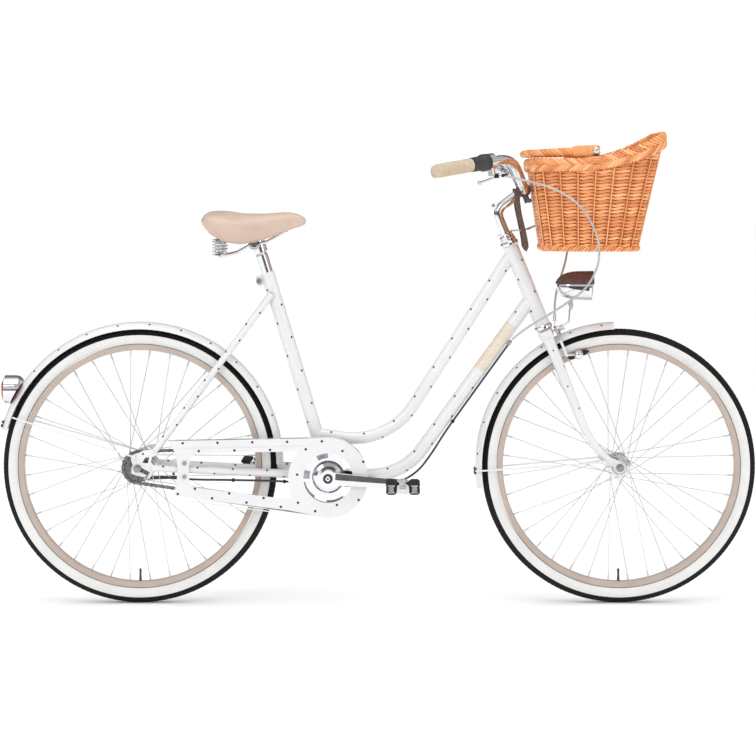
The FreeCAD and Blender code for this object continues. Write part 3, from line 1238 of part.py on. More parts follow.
def rounded_box_wire(rear, front, half_width, corner, z):
    """A level rectangle with rounded corners."""
    points = [Vector(rear, -half_width, z), Vector(front, -half_width, z), Vector(front, half_width, z),
              Vector(rear, half_width, z)]
    edges = []
    for number, point in enumerate(points):
        before = (points[number - 1] - point).normalize()
        ahead = (points[(number + 1) % 4] - point).normalize()
        following = points[(number + 1) % 4]
        start = point + before * corner
        end = point + ahead * corner
        middle = point + (before + ahead) * corner * (1 - math.sqrt(0.5))
        edges.append(Part.Arc(start, middle, end).toShape())
        edges.append(Part.LineSegment(end, following - ahead * corner).toShape())
    return Part.Wire(edges)


def tapered_box(inset, low, high):
    """The basket's flared body between two heights, drawn in by an inset."""
    floor = value("basket_floor_z")
    wires = []
    for z in (low, high):
        rise = (z - floor) / 280.0
        wires.append(rounded_box_wire(381 - 40 * rise + inset, 606 + 61 * rise - inset,
                                      140 + 55 * rise - inset, 62 - inset, z))
    return Part.makeLoft(wires, True, True)


floor_z = value("basket_floor_z")
wall = value("basket_wall")
outside = tapered_box(0, floor_z, floor_z + 300)
inside = tapered_box(wall, floor_z + wall, floor_z + 310)
rim_line = [Part.LineSegment(Vector(200, 0, 1040), Vector(450, 0, 1042)).toShape(),
            Part.Arc(Vector(450, 0, 1042), Vector(574, 0, 1062), Vector(690, 0, 1116)).toShape(),
            Part.LineSegment(Vector(690, 0, 1116), Vector(690, 0, 1300)).toShape(),
            Part.LineSegment(Vector(690, 0, 1300), Vector(200, 0, 1300)).toShape(),
            Part.LineSegment(Vector(200, 0, 1300), Vector(200, 0, 1040)).toShape()]
above_rim = Part.Face(Part.Wire(rim_line)).extrude(Vector(0, 500, 0))
above_rim.translate(Vector(0, -250, 0))
node("basket", feature("basket", outside.cut(inside).cut(above_rim)))

HANDLE_PIVOT_X = 500.0
HANDLE_Z = 1061.0
handle_points = [Vector(HANDLE_PIVOT_X + 6, -175, HANDLE_Z), Vector(346, -152, HANDLE_Z - 6),
                 Vector(346, 152, HANDLE_Z - 6), Vector(HANDLE_PIVOT_X + 6, 175, HANDLE_Z)]
handle_bow = swept(bent_wire(handle_points, [80, 80]), 8.5)
pivot = Vector(HANDLE_PIVOT_X, 0, HANDLE_Z)
handle_pins = []
handle_plates = []
for side in (-1, 1):
    handle_pins.append(rod(pivot + Vector(0, side * 160, 0), pivot + Vector(0, side * 188, 0), 2.5))
    plate = Part.makeBox(10, 2, 34, pivot + Vector(-5, side * 187 - 1, -30))
    rivet = rod(pivot + Vector(0, side * 181.4, -23), pivot + Vector(0, side * 190, -23), 3)
    handle_plates.append(plate.fuse(rivet))
pin_holes = [rod(pivot + Vector(0, side * 150, 0), pivot + Vector(0, side * 200, 0), 2.6)
             for side in (-1, 1)]
node("basket_handle", feature("basket_handle", handle_bow.cut(pin_holes)))
handle_hinges = [pin.fuse(plate) for pin, plate in zip(handle_pins, handle_plates)]

node("front_brackets", brake_bolt, brake_nut, feature("lamp_bracket", lamp_bracket),
     feature("basket_bracket", basket_bracket),
     *[feature("handle_hinge_%d" % number, hinge) for number, hinge in enumerate(handle_hinges)])

straps = []
for side, name in ((-1, "right"), (1, "left")):
    middle = CLAMP + Vector(0, side * 39, 0)
    half = Vector(0, 7, 0)
    band = sleeve(middle - half, middle + half, value("bar_radius + 4"), value("bar_radius + 0.05"))
    strap_y = middle.y - 7
    tongue = Part.makeBox(6.2, 14, 3, Vector(middle.x + 12, strap_y, middle.z - 1.5))
    tail = Part.makeBox(13, 3.4, 150)
    tail.Placement = Placement(Vector(middle.x - 11, middle.y - 1.7, middle.z + 2), Rotation(LEFT, 171.5))
    band_space = rod(middle - half * 2, middle + half * 2, value("bar_radius + 0.05"))
    straps.append(feature("basket_strap_" + name, band.fuse([tongue, tail]).cut(band_space)))
node("basket_straps", *straps)


# ---------------------------------------------------------------- cables

GEAR_STOP = Vector(313, -12, 617)
brake_route = [Vector(300, 170, 1012), Vector(338, 192, 1004), Vector(385, 205, 975),
               Vector(425, 208, 930), Vector(452, 196, 880), Vector(458, 160, 836),
               Vector(448, 108, 795), Vector(430, 62, 752), Vector(417, 34, 708), Vector(417, 22, 672)]
loop_route = [SHIFT_EXIT + Vector(22.2, -2, 1), Vector(318, -202, 998), Vector(350, -207, 989.5),
              Vector(404, -213, 975), Vector(463, -212, 938), Vector(498, -202, 879),
              Vector(508, -186, 835), Vector(506, -162, 795), Vector(484, -125, 746),
              Vector(449, -92, 715), Vector(395, -55, 677), Vector(340, -25, 642),
              GEAR_STOP + Vector(2.4, -1, 2.4)]
lower_route = [GEAR_STOP, Vector(275, -12, 564.5), Vector(235, -12, 509.5), Vector(195, -12, 454),
               Vector(156, -12, 399.5), Vector(126, -12, 351), Vector(92, -12, 306), Vector(42, -12, 280),
               Vector(-14, -12, 276.5), Vector(-74, -12, 274.5), Vector(-134, -17, 278),
               Vector(-190, -27, 285.5), Vector(-248, -33, 289.5), Vector(-308, -40, 291.5),
               Vector(-368, -47, 293.4), Vector(-428, -53, 294.5), Vector(-486, -57, 299)]
node("brake_cable", feature("brake_cable", cable("brake_cable", brake_route)))
node("gear_cable_loop", feature("gear_cable_loop", cable("gear_cable_loop", loop_route)))
lower_cable = cable("gear_cable", lower_route)
clips = []
for number, (near, far) in enumerate(((0, 1), (3, 4), (11, 12), (13, 14))):
    start, end = lower_route[near], lower_route[far]
    middle = start + (end - start) * (0.12 if number == 0 else 0.5)
    along = (end - start).normalize()
    length = 12 if number == 0 else 6
    clips.append(feature("cable_clip_%d" % number, sleeve(
        middle - along * length / 2, middle + along * length / 2, 4.2, value("cable_radius + 0.1"))))
node("gear_cable", feature("gear_cable_housing", lower_cable), *clips)


# ---------------------------------------------------------------- checks and export

doc.recompute()
for item in doc.Objects:
    if "Invalid" in item.State or "Error" in item.State:
        raise RuntimeError("%s is %s" % (item.Label, item.State))
os.makedirs("parts", exist_ok=True)
for old in os.listdir("parts"):
    os.remove(os.path.join("parts", old))
for item in NODES:
    shape = item.Shape
    if shape.isNull() or not shape.isValid() or not shape.Solids:
        raise RuntimeError("%s has no valid solid" % item.Label)
    shape.exportStep("parts/%s.step" % item.Label)
print("%d sub-parts written" % len(NODES))
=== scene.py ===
import math
import random

import bpy
from mathutils.bvhtree import BVHTree
from mathutils import Matrix, Vector


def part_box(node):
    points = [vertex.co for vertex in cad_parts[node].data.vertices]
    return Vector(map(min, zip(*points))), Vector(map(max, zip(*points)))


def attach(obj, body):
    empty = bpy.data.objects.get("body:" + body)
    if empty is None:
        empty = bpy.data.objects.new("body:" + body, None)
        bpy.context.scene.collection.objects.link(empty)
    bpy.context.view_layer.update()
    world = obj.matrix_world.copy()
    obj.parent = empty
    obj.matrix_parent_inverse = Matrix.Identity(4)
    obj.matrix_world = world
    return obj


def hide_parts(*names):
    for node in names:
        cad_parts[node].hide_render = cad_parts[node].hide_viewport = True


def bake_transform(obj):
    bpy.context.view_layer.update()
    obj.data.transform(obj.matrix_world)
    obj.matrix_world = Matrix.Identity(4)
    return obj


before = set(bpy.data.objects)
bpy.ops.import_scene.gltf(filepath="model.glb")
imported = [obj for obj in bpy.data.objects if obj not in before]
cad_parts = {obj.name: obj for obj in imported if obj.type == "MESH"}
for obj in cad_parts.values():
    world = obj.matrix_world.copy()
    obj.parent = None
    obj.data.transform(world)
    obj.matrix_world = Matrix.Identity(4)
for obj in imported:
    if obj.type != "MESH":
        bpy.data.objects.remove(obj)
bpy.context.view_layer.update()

# Looks of a step-through city bicycle. Lengths in the functions are in millimetres and become metres
# when a piece is made; +X is forward, +Y the rider's left, +Z up.

MM = 0.001
UP = Vector((0, 0, 1))
LEFT = Vector((0, 1, 0))
RIGHT = Vector((0, -1, 0))



def placed(name, data):
    """A new object in the scene that holds the given data."""
    item = bpy.data.objects.new(name, data)
    bpy.context.scene.collection.objects.link(item)
    return item


# ---------------------------------------------------------------- camera

CAMERA_DISTANCE = 5.8
VIEW_WIDTH = 1.7804
SENSOR = 36.0
CAMERA_X, CAMERA_HEIGHT = 0.075, 0.9938
VIEW_CENTRE_X, VIEW_CENTRE_Z = -0.0002, 0.5275

camera_data = bpy.data.cameras.new("camera")
camera_data.sensor_width = SENSOR
camera_data.lens = SENSOR * CAMERA_DISTANCE / VIEW_WIDTH
camera_data.shift_x = (VIEW_CENTRE_X - CAMERA_X) / VIEW_WIDTH
camera_data.shift_y = (VIEW_CENTRE_Z - CAMERA_HEIGHT) / VIEW_WIDTH
camera_data.clip_end = 60
camera = placed("camera", camera_data)
camera.location = (CAMERA_X, -CAMERA_DISTANCE, CAMERA_HEIGHT)
camera.rotation_euler = (math.radians(90), 0, 0)
bpy.context.scene.camera = camera


# ---------------------------------------------------------------- shapes

def ring(centre, across, along, sides):
    """Points of an ellipse round a centre, with its two half axes as vectors."""
    angles = [2 * math.pi * k / sides for k in range(sides)]
    return [centre + across * math.cos(a) + along * math.sin(a) for a in angles]


def loft(rings, closed=False, caps=True):
    """A skin through rings of equal length."""
    sides, count = len(rings[0]), len(rings)
    faces = []
    for i in range(count if closed else count - 1):
        low, high = i * sides, (i + 1) % count * sides
        for k in range(sides):
            following = (k + 1) % sides
            faces.append((low + k, low + following, high + following, high + k))
    if caps and not closed:
        faces.append(tuple(reversed(range(sides))))
        faces.append(tuple(range((count - 1) * sides, count * sides)))
    return [point for one in rings for point in one], faces


def slab(outline, origin, across, up, out, levels):
    """A flat shape from an outline, with its scale at each distance along its thickness."""
    return loft([[origin + out * depth + (across * x + up * z) * scale for x, z in outline]
                 for depth, scale in levels])


def four_way(quarter):
    """A closed outline from the points of one quarter, mirrored both ways."""
    lower = [point for point in quarter if point[1]]
    return ([(-x, z) for x, z in quarter] + quarter[::-1] + [(x, -z) for x, z in lower]
            + [(-x, -z) for x, z in lower[::-1]])


def wheel_directions(degrees):
    """The outward and onward directions at an angle round a wheel."""
    turn = math.radians(degrees)
    return Vector((math.cos(turn), 0, math.sin(turn))), Vector((-math.sin(turn), 0, math.cos(turn)))


def frames_along(points):
    """Normals and binormals carried along a line without twisting."""
    neighbours = zip([points[0]] + points[:-1], points[1:] + [points[-1]])
    tangents = [(after - before).normalized() for before, after in neighbours]
    normal = LEFT if abs(UP.dot(tangents[0])) > 0.95 else UP
    frames = []
    for tangent in tangents:
        normal = (normal - tangent * normal.dot(tangent)).normalized()
        frames.append((normal, tangent.cross(normal)))
    return frames


def tube(points, radius, sides=10):
    """A round bar along points; radius is a number or a function of the share of the way."""
    last = len(points) - 1
    rings = []
    for i, (point, (normal, side)) in enumerate(zip(points, frames_along(points))):
        size = radius(i / last) if callable(radius) else radius
        rings.append(ring(point, normal * size, side * size, sides))
    return loft(rings)


def turned(profile, origin, axis, sides=48):
    """A turned shape from (radius, distance along the axis) points."""
    axis = axis.normalized()
    across = LEFT if abs(axis.dot(LEFT)) < 0.9 else UP
    across = (across - axis * across.dot(axis)).normalized()
    side = axis.cross(across)
    rings = [ring(origin + axis * z, across * max(r, 0.001), side * max(r, 0.001), sides)
             for r, z in profile]
    return loft(rings)


def block(centre, x_axis, y_axis, z_axis, bevel=1.0):
    """A box from its centre and three half axes, with bevelled edges all round."""
    def shortened(axis, cut):
        return axis * (1 - cut / max(axis.length, cut + 0.01))

    def level(share, inset):
        x, y = shortened(x_axis, inset), shortened(y_axis, inset)
        short_x, short_y = shortened(x_axis, inset + bevel), shortened(y_axis, inset + bevel)
        corners = [x + short_y, short_x + y, y - short_x, short_y - x]
        return [centre + z_axis * share + corner for corner in corners + [-corner for corner in corners]]

    step = bevel / max(z_axis.length, bevel + 0.01)
    return loft([level(-1, bevel), level(-1 + step, 0), level(1 - step, 0), level(1, bevel)])


def rounded_path(points, radii, step=4.0):
    """Straight runs joined by tangent arcs, divided evenly."""
    line = [points[0]]
    for before, corner, after, radius in zip(points, points[1:], points[2:], radii):
        back, ahead = (before - corner).normalized(), (after - corner).normalized()
        half_turn = (math.pi - back.angle(ahead)) / 2
        reach = radius * math.tan(half_turn)
        centre = corner + (back + ahead).normalized() * (radius / math.cos(half_turn))
        first, last = corner + back * reach - centre, corner + ahead * reach - centre
        pieces = max(3, int(2 * half_turn * radius / step))
        for i in range(pieces + 1):
            turned_by = Matrix.Rotation(2 * half_turn * i / pieces, 3, first.cross(last))
            line.append(centre + turned_by @ first)
    line.append(points[-1])
    dense = []
    for start, end in zip(line, line[1:]):
        pieces = max(1, int((end - start).length / step))
        dense += [start.lerp(end, i / pieces) for i in range(pieces)]
    return dense + [line[-1]]


class Piece:
    """Collects shapes in millimetres and makes one object of them."""

    def __init__(self, name, body, *materials):
        self.name, self.body, self.materials = name, body, materials
        self.verts, self.faces, self.indexes, self.tones, self.strands = [], [], [], [], []

    def add(self, shape, index=0, tone=0.5, sides=0):
        verts, faces = shape
        base = len(self.verts)
        self.verts += [v * MM for v in verts]
        self.faces += [tuple(base + i for i in face) for face in faces]
        self.indexes += [index] * len(faces)
        self.tones += [tone] * len(verts)
        if sides:
            run, last = 0.0, verts[0]
            for i in range(0, len(verts), sides):
                run += (verts[i] - last).length * MM
                last = verts[i]
                for k in range(sides):
                    angle = 2 * math.pi * k / sides
                    self.strands.append((run, math.cos(angle), math.sin(angle)))
        else:
            self.strands += [(0.0, 1.0, 0.0)] * len(verts)
        return self

    def make(self, replaces=(), sharp=35.0):
        mesh = bpy.data.meshes.new(self.name)
        mesh.from_pydata(self.verts, [], self.faces)
        for material in self.materials:
            mesh.materials.append(material)
        mesh.polygons.foreach_set("material_index", self.indexes)
        mesh.polygons.foreach_set("use_smooth", [True] * len(self.faces))
        mesh.attributes.new("tone", "FLOAT", "POINT").data.foreach_set("value", self.tones)
        flat = [number for strand in self.strands for number in strand]
        mesh.attributes.new("strand", "FLOAT_VECTOR", "POINT").data.foreach_set("vector", flat)
        mesh.validate()
        mesh.set_sharp_from_angle(angle=math.radians(sharp))
        item = placed(self.name, mesh)
        if self.body:
            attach(item, self.body)
        if replaces:
            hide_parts(*replaces)
        return item


# ---------------------------------------------------------------- materials

def node(tree, kind, constants=(), **settings):
    """A shader node with its settings, and constants on its inputs."""
    item = tree.nodes.new(kind)
    for name, setting in settings.items():
        setattr(item, name, setting)
    for name, constant in dict(constants).items():
        item.inputs[name].default_value = constant
    return item


def wired(tree, *joins):
    """Links between nodes, each as source, output, target and input."""
    for source, output, target, entry in joins:
        tree.links.new(source.outputs[output], target.inputs[entry])


def ramp(tree, stops):
    """A colour ramp through (position, colour) stops."""
    item = tree.nodes.new("ShaderNodeValToRGB")
    for _ in stops[2:]:
        item.color_ramp.elements.new(0.5)
    for element, (position, colour) in zip(item.color_ramp.elements, stops):
        element.position = position
        element.color = (*colour, 1)
    return item


def blank(name, constants):
    """A new material with constants on its shader, its node tree and the shader."""
    material = bpy.data.materials.new(name)
    material.use_nodes = True
    shader = material.node_tree.nodes["Principled BSDF"]
    for socket, constant in constants.items():
        shader.inputs[socket].default_value = constant
    return material, material.node_tree, shader


def finish(name, low, high, roughness=(0.3, 0.5), metallic=0.0, scale=40.0, bump=0.0, depth=0.0003,
           stretch=(1, 1, 1), grain="noise", fixed=None):
    """A surface whose colour and roughness wander between two values over a procedural grain."""
    material, tree, shader = blank(name, {"Metallic": metallic, **(fixed or {})})
    place = node(tree, "ShaderNodeTexCoord")
    mapping = node(tree, "ShaderNodeMapping", {"Scale": stretch})
    if grain == "voronoi":
        texture, output = node(tree, "ShaderNodeTexVoronoi", feature="SMOOTH_F1"), "Distance"
    else:
        texture, output = node(tree, "ShaderNodeTexNoise", {"Detail": 4.0}), "Fac"
    texture.inputs["Scale"].default_value = scale
    tint = ramp(tree, ((0.3, low), (0.7, high)))
    spread = node(tree, "ShaderNodeMapRange", {"From Min": 0.3, "From Max": 0.7, "To Min": roughness[0],
                                               "To Max": roughness[1]})
    wired(tree, (place, "Object", mapping, "Vector"), (mapping, "Vector", texture, "Vector"),
          (texture, output, tint, "Fac"), (tint, "Color", shader, "Base Color"),
          (texture, output, spread, "Value"), (spread, "Result", shader, "Roughness"))
    if bump:
        relief = node(tree, "ShaderNodeBump", {"Strength": bump, "Distance": depth})
        wired(tree, (texture, output, relief, "Height"), (relief, "Normal", shader, "Normal"))
    return material


def willow():
    """Varnished willow rods: each rod has its own tone, with fibres running along it."""
    material, tree, shader = blank("willow", {"Coat Weight": 0.35, "Coat Roughness": 0.25})
    strand = node(tree, "ShaderNodeAttribute", attribute_name="strand")
    tone = node(tree, "ShaderNodeAttribute", attribute_name="tone")
    spread = node(tree, "ShaderNodeMapping", {"Scale": (14, 1.6, 1.6)})
    fibres = node(tree, "ShaderNodeTexNoise", noise_dimensions="4D")
    fibres.inputs["Scale"].default_value = 1.6
    fibres.inputs["Detail"].default_value = 5.0
    shift = node(tree, "ShaderNodeMath", {1: 40.0}, operation="MULTIPLY")
    mix = node(tree, "ShaderNodeMath", {1: 0.55}, operation="MULTIPLY_ADD")
    half = node(tree, "ShaderNodeMath", {1: 0.62}, operation="MULTIPLY")
    tint = ramp(tree, ((0.0, (0.2, 0.045, 0.012)), (0.35, (0.57, 0.17, 0.048)),
                       (0.62, (0.82, 0.32, 0.1)), (1.0, (0.95, 0.62, 0.33))))
    rough = node(tree, "ShaderNodeMapRange", {"To Min": 0.5, "To Max": 0.34})
    relief = node(tree, "ShaderNodeBump", {"Strength": 0.35, "Distance": 0.0004})
    wired(tree, (strand, "Vector", spread, "Vector"), (spread, "Vector", fibres, "Vector"),
          (tone, "Fac", shift, 0), (shift, 0, fibres, "W"), (fibres, "Fac", half, 0), (tone, "Fac", mix, 0),
          (half, 0, mix, 2), (mix, 0, tint, "Fac"), (tint, "Color", shader, "Base Color"),
          (fibres, "Fac", rough, "Value"), (rough, "Result", shader, "Roughness"),
          (fibres, "Fac", relief, "Height"), (relief, "Normal", shader, "Normal"))
    return material


ENAMEL = finish("white_enamel", (0.69, 0.69, 0.705), (0.735, 0.735, 0.747), (0.24, 0.3), scale=9.0,
                bump=0.04, depth=0.0006, fixed={"Coat Weight": 0.7, "Coat Roughness": 0.06})
DOTS = finish("dot_enamel", (0.012, 0.011, 0.013), (0.02, 0.018, 0.02), (0.3, 0.4), scale=300.0)
BAND = finish("beige_decal", (0.66, 0.565, 0.45), (0.72, 0.635, 0.525), (0.3, 0.42), scale=30.0,
              stretch=(1, 1, 6), fixed={"Coat Weight": 0.4})
CHROME = finish("chrome", (0.74, 0.75, 0.77), (0.82, 0.82, 0.84), (0.05, 0.12), 1.0, scale=55.0,
                bump=0.02)
ALLOY = finish("polished_alloy", (0.66, 0.665, 0.68), (0.78, 0.785, 0.79), (0.16, 0.3), 1.0, scale=60.0,
               stretch=(1, 9, 1), bump=0.05, depth=0.0001)
ZINC = finish("zinc_steel", (0.3, 0.3, 0.31), (0.46, 0.46, 0.47), (0.25, 0.42), 1.0, scale=120.0,
              bump=0.06)
SPOKE = finish("spoke_steel", (0.62, 0.62, 0.64), (0.78, 0.78, 0.8), (0.3, 0.42), 1.0, scale=70.0)
CHAIN = finish("chain_steel", (0.07, 0.068, 0.066), (0.32, 0.31, 0.3), (0.25, 0.45), 1.0, scale=160.0,
               bump=0.1)
BLACK = finish("black_steel", (0.012, 0.012, 0.013), (0.03, 0.03, 0.032), (0.25, 0.45), scale=70.0,
               bump=0.05, fixed={"Coat Weight": 0.4})
TREAD = finish("tread_rubber", (0.004, 0.004, 0.004), (0.009, 0.009, 0.009), (0.65, 0.85), scale=240.0,
               bump=0.25, depth=0.0002, fixed={"Specular IOR Level": 0.25})
WALL = finish("white_rubber", (0.67, 0.67, 0.655), (0.73, 0.73, 0.72), (0.45, 0.6), scale=22.0, bump=0.08)
RIM = finish("beige_rim", (0.43, 0.35, 0.302), (0.485, 0.4, 0.348), (0.3, 0.42), scale=16.0, bump=0.03,
             fixed={"Coat Weight": 0.4})
GRIP = finish("cream_grip", (0.52, 0.422, 0.3), (0.586, 0.484, 0.356), (0.45, 0.65), scale=60.0, bump=0.1,
              depth=0.0002)
PLASTIC = finish("soft_plastic", (0.02, 0.02, 0.024), (0.045, 0.045, 0.05), (0.4, 0.6), scale=420.0,
                 bump=0.3, depth=0.0001)
SADDLE = finish("saddle_leather", (0.55, 0.405, 0.318), (0.61, 0.465, 0.382), (0.3, 0.42), scale=18.0,
                bump=0.05, depth=0.0006, fixed={"Coat Weight": 0.15, "Coat Roughness": 0.3})
STRAP = finish("strap_leather", (0.075, 0.035, 0.03), (0.15, 0.08, 0.068), (0.4, 0.6), scale=330.0,
               grain="voronoi", bump=0.35, depth=0.0004)
WILLOW = willow()
LENS = finish("clear_lens", (0.9, 0.92, 0.94), (0.98, 0.98, 0.98), (0.02, 0.06), scale=80.0, bump=0.15,
              stretch=(1, 3, 1), fixed={"Transmission Weight": 0.9, "IOR": 1.49})
RED = finish("red_lens", (0.35, 0.006, 0.008), (0.62, 0.02, 0.02), (0.06, 0.14), scale=260.0, bump=0.5,
             depth=0.0006, grain="voronoi", fixed={"Coat Weight": 0.6})
HOUSING = finish("cable_grey", (0.36, 0.35, 0.34), (0.5, 0.49, 0.48), (0.25, 0.36), scale=50.0,
                 fixed={"Coat Weight": 0.3})
PAD = finish("black_rubber", (0.006, 0.006, 0.006), (0.016, 0.016, 0.016), (0.5, 0.7), scale=200.0,
             bump=0.2, fixed={"Specular IOR Level": 0.35})

CARRIED = {
    ENAMEL: """head_tube top_tube down_tube seat_tube bottom_bracket chain_stays seat_stays rear_dropouts
               chain_guard rear_mudguard rear_mudguard_stays fork_crown fork_blades front_mudguard
               front_mudguard_stays""",
    CHROME: """headset_cups headset_locknut handlebar headlamp_housing rear_lamp_housing saddle_frame
               front_brackets chainring stem seatpost crank_arms""",
    ALLOY: "control_clamps brake_lever front_hub rear_hub caliper_right caliper_left",
    ZINC: "rear_axle front_axle frame_bolts",
    SPOKE: "front_spokes rear_spokes",
    CHAIN: "sprocket",
    BLACK: "coaster_brake_arm",
    RIM: "front_rim rear_rim",
    GRIP: "grips",
    PLASTIC: "shift_grip",
    STRAP: "headlamp_cap",
    LENS: "headlamp_lens",
    RED: "rear_lamp_lens",
    PAD: "brake_pad_right brake_pad_left",
}
for material, names in CARRIED.items():
    for name in names.split():
        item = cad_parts[name]
        item.data.materials.clear()
        item.data.materials.append(material)


# ---------------------------------------------------------------- places taken from the CAD

HEAD_ANGLE = math.radians(68)
STEER_UP = Vector((-math.cos(HEAD_ANGLE), 0, math.sin(HEAD_ANGLE)))
STEER_FORWARD = Vector((math.sin(HEAD_ANGLE), 0, math.cos(HEAD_ANGLE)))
SEAT_ANGLE = math.radians(73)
SEAT_UP = Vector((-math.cos(SEAT_ANGLE), 0, math.sin(SEAT_ANGLE)))


def middle_of(name):
    low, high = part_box(name)
    return (low + high) / 2 / MM


REAR_AXLE = middle_of("rear_hub")
FRONT_AXLE = middle_of("front_hub")
REAR_AXLE.y = FRONT_AXLE.y = 0
BRACKET = Vector((-115.5, 0, 300))
STEER_BASE = FRONT_AXLE - STEER_FORWARD * 42


def at_steer(forward, up, y=0.0):
    return STEER_BASE + STEER_FORWARD * forward + STEER_UP * up + Vector((0, y, 0))


LINE_STEP = 2.0


def bent_line(start, heading, low_run, bend, turn, high_run):
    """Points and directions along a frame tube in the mid-plane."""
    line, point, angle = [], start.copy(), math.radians(heading)
    arc = bend * math.radians(turn)
    for i in range(int((low_run + arc + high_run) / LINE_STEP)):
        line.append((point.copy(), Vector((math.cos(angle), 0, math.sin(angle)))))
        if low_run < i * LINE_STEP < low_run + arc:
            angle += LINE_STEP / bend
        point = point + Vector((math.cos(angle), 0, math.sin(angle))) * LINE_STEP
    return line


def straight_line(start, end):
    """Points and the direction along a straight tube."""
    count = int((end - start).length / LINE_STEP)
    return [(start.lerp(end, i / count), (end - start).normalized()) for i in range(count)]


# ---------------------------------------------------------------- dots and the plain band

DOT_PITCH = 81.0
DOT_RADIUS = 2.8
SURFACES = {}


def laid_on(name, shape, lift=0.15):
    """A thin shape with each of its points moved onto a carried part's own surface."""
    if name not in SURFACES:
        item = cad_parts[name]
        corners = [item.matrix_world @ vertex.co / MM for vertex in item.data.vertices]
        sides = [tuple(face.vertices) for face in item.data.polygons]
        SURFACES[name] = BVHTree.FromPolygons(corners, sides)
    points, faces = shape
    moved = []
    for point in points:
        spot, normal, _, _ = SURFACES[name].find_nearest(point)
        moved.append(spot + normal * lift)
    return moved, faces


def round_dot(centre, along, first, second, radius, angle, lift):
    """A small disc of enamel over a round section, at an angle from its first towards its second axis."""
    rings = []
    for share in (0.0, 0.6, 1.0):
        one = []
        for k in range(12):
            turn = 2 * math.pi * k / 12
            bend = angle + DOT_RADIUS * share * math.sin(turn) / radius
            one.append(centre + along * (DOT_RADIUS * share * math.cos(turn))
                       + (first * math.cos(bend) + second * math.sin(bend)) * (radius + lift))
        rings.append(one)
    return loft(rings, caps=False)


def tube_dots(piece, name, line, radius, offset):
    """Four rows of dots along a tube, each second row half a pitch further on."""
    for angle, shift in ((135, 0), (-135, DOT_PITCH / 2), (45, DOT_PITCH / 2), (-45, 0)):
        size = radius if callable(radius) else (lambda share: radius)
        place = (offset + shift) % DOT_PITCH
        while place < len(line) * LINE_STEP - 6:
            centre, along = line[int(place / LINE_STEP)]
            if place > 6:
                turn = math.radians(angle)
                side = along.cross(LEFT).normalized()
                dot = round_dot(centre, along, LEFT, side, size(place / LINE_STEP / len(line)), turn, 0.06)
                piece.add(laid_on(name, dot))
            place += DOT_PITCH


dots = Piece("frame_dots", "frame", DOTS)
top_tube = bent_line(Vector((-144.9, 0, 396.1)), -8.1, 62.6, 170, 65.2, 430)
down_tube = bent_line(Vector((-115.5, 0, 298)), 0, 97.7, 150, 54.1, 439)
seat_tube = straight_line(BRACKET, BRACKET + SEAT_UP * 470)
BAND_START, BAND_LENGTH = 470.0, 130.0
BAND_MARGIN = 8.0
band_stretch = range(int((BAND_START - BAND_MARGIN) / LINE_STEP),
                     int((BAND_START + BAND_LENGTH + BAND_MARGIN) / LINE_STEP))
tube_dots(dots, "top_tube", top_tube, 14.3, 34)
tube_dots(dots, "down_tube", down_tube[:band_stretch.start], 15.9, 62)
tube_dots(dots, "down_tube", down_tube[band_stretch.stop:], 15.9, 22)
tube_dots(dots, "seat_tube", seat_tube[60:], 15.9, 14)
tube_dots(dots, "head_tube", straight_line(at_steer(0, 384), at_steer(0, 560)), 18.0, 30)
for side in (-1, 1):
    chain_stay = straight_line(Vector((-190, 26.5 * side, 304.6)), Vector((-510, 60.7 * side, 321.6)))
    seat_stay = straight_line(Vector((-266, 20.6 * side, 704.4)), Vector((-508, 60.7 * side, 377.8)))
    tube_dots(dots, "chain_stays", chain_stay, lambda share: 10.5 - 2.8 * share, 30)
    tube_dots(dots, "seat_stays", seat_stay, lambda share: 7.95 - 0.9 * share, 24)


MUDGUARD_RADIUS, MUDGUARD_HALF, MUDGUARD_RISE = 338.0, 26.0, 16.0
MUDGUARD_PITCH = 13.0


def mudguard_dots(piece, name, axle, first, last):
    """Two rows of dots along a mudguard, one on each flank, between two angles in degrees."""
    crown = (MUDGUARD_HALF ** 2 + MUDGUARD_RISE ** 2) / (2 * MUDGUARD_RISE)
    for side in (-1, 1):
        angle = first + (MUDGUARD_PITCH / 2 if side > 0 else 0)
        while angle < last:
            out, along = wheel_directions(angle)
            centre = axle + out * (MUDGUARD_RADIUS - crown)
            dot = round_dot(centre, along, out, LEFT, crown, math.radians(34) * side, 0.08)
            piece.add(laid_on(name, dot))
            angle += MUDGUARD_PITCH


mudguard_dots(dots, "rear_mudguard", REAR_AXLE, 8, 160)


GUARD_FACE = -67.56


def guard_dot(x, y):
    """A dot on the chain guard's face, from the bracket forward and up."""
    centre = BRACKET + Vector((x, GUARD_FACE, y))
    sizes = (DOT_RADIUS * 1.08, DOT_RADIUS * 0.6, 0.01)
    return loft([ring(centre, Vector((size, 0, 0)), UP * size, 14) for size in sizes], caps=False)


for number in range(5):
    dots.add(guard_dot(-338.5 + 81 * number, 81 + 1.1 * number))
    dots.add(guard_dot(-350 + 80 * number, -37 - 10 * number))
for number in range(4):
    dots.add(guard_dot(-301 + 83 * number, 63 + 1.3 * number))
    dots.add(guard_dot(-310 + 80 * number, -25 - 10.8 * number))
for x, y in ((-72, 8), (33.5, 63), (82, 38), (71, -51), (20.7, -62.7)):
    dots.add(guard_dot(x, y))
dots.make()

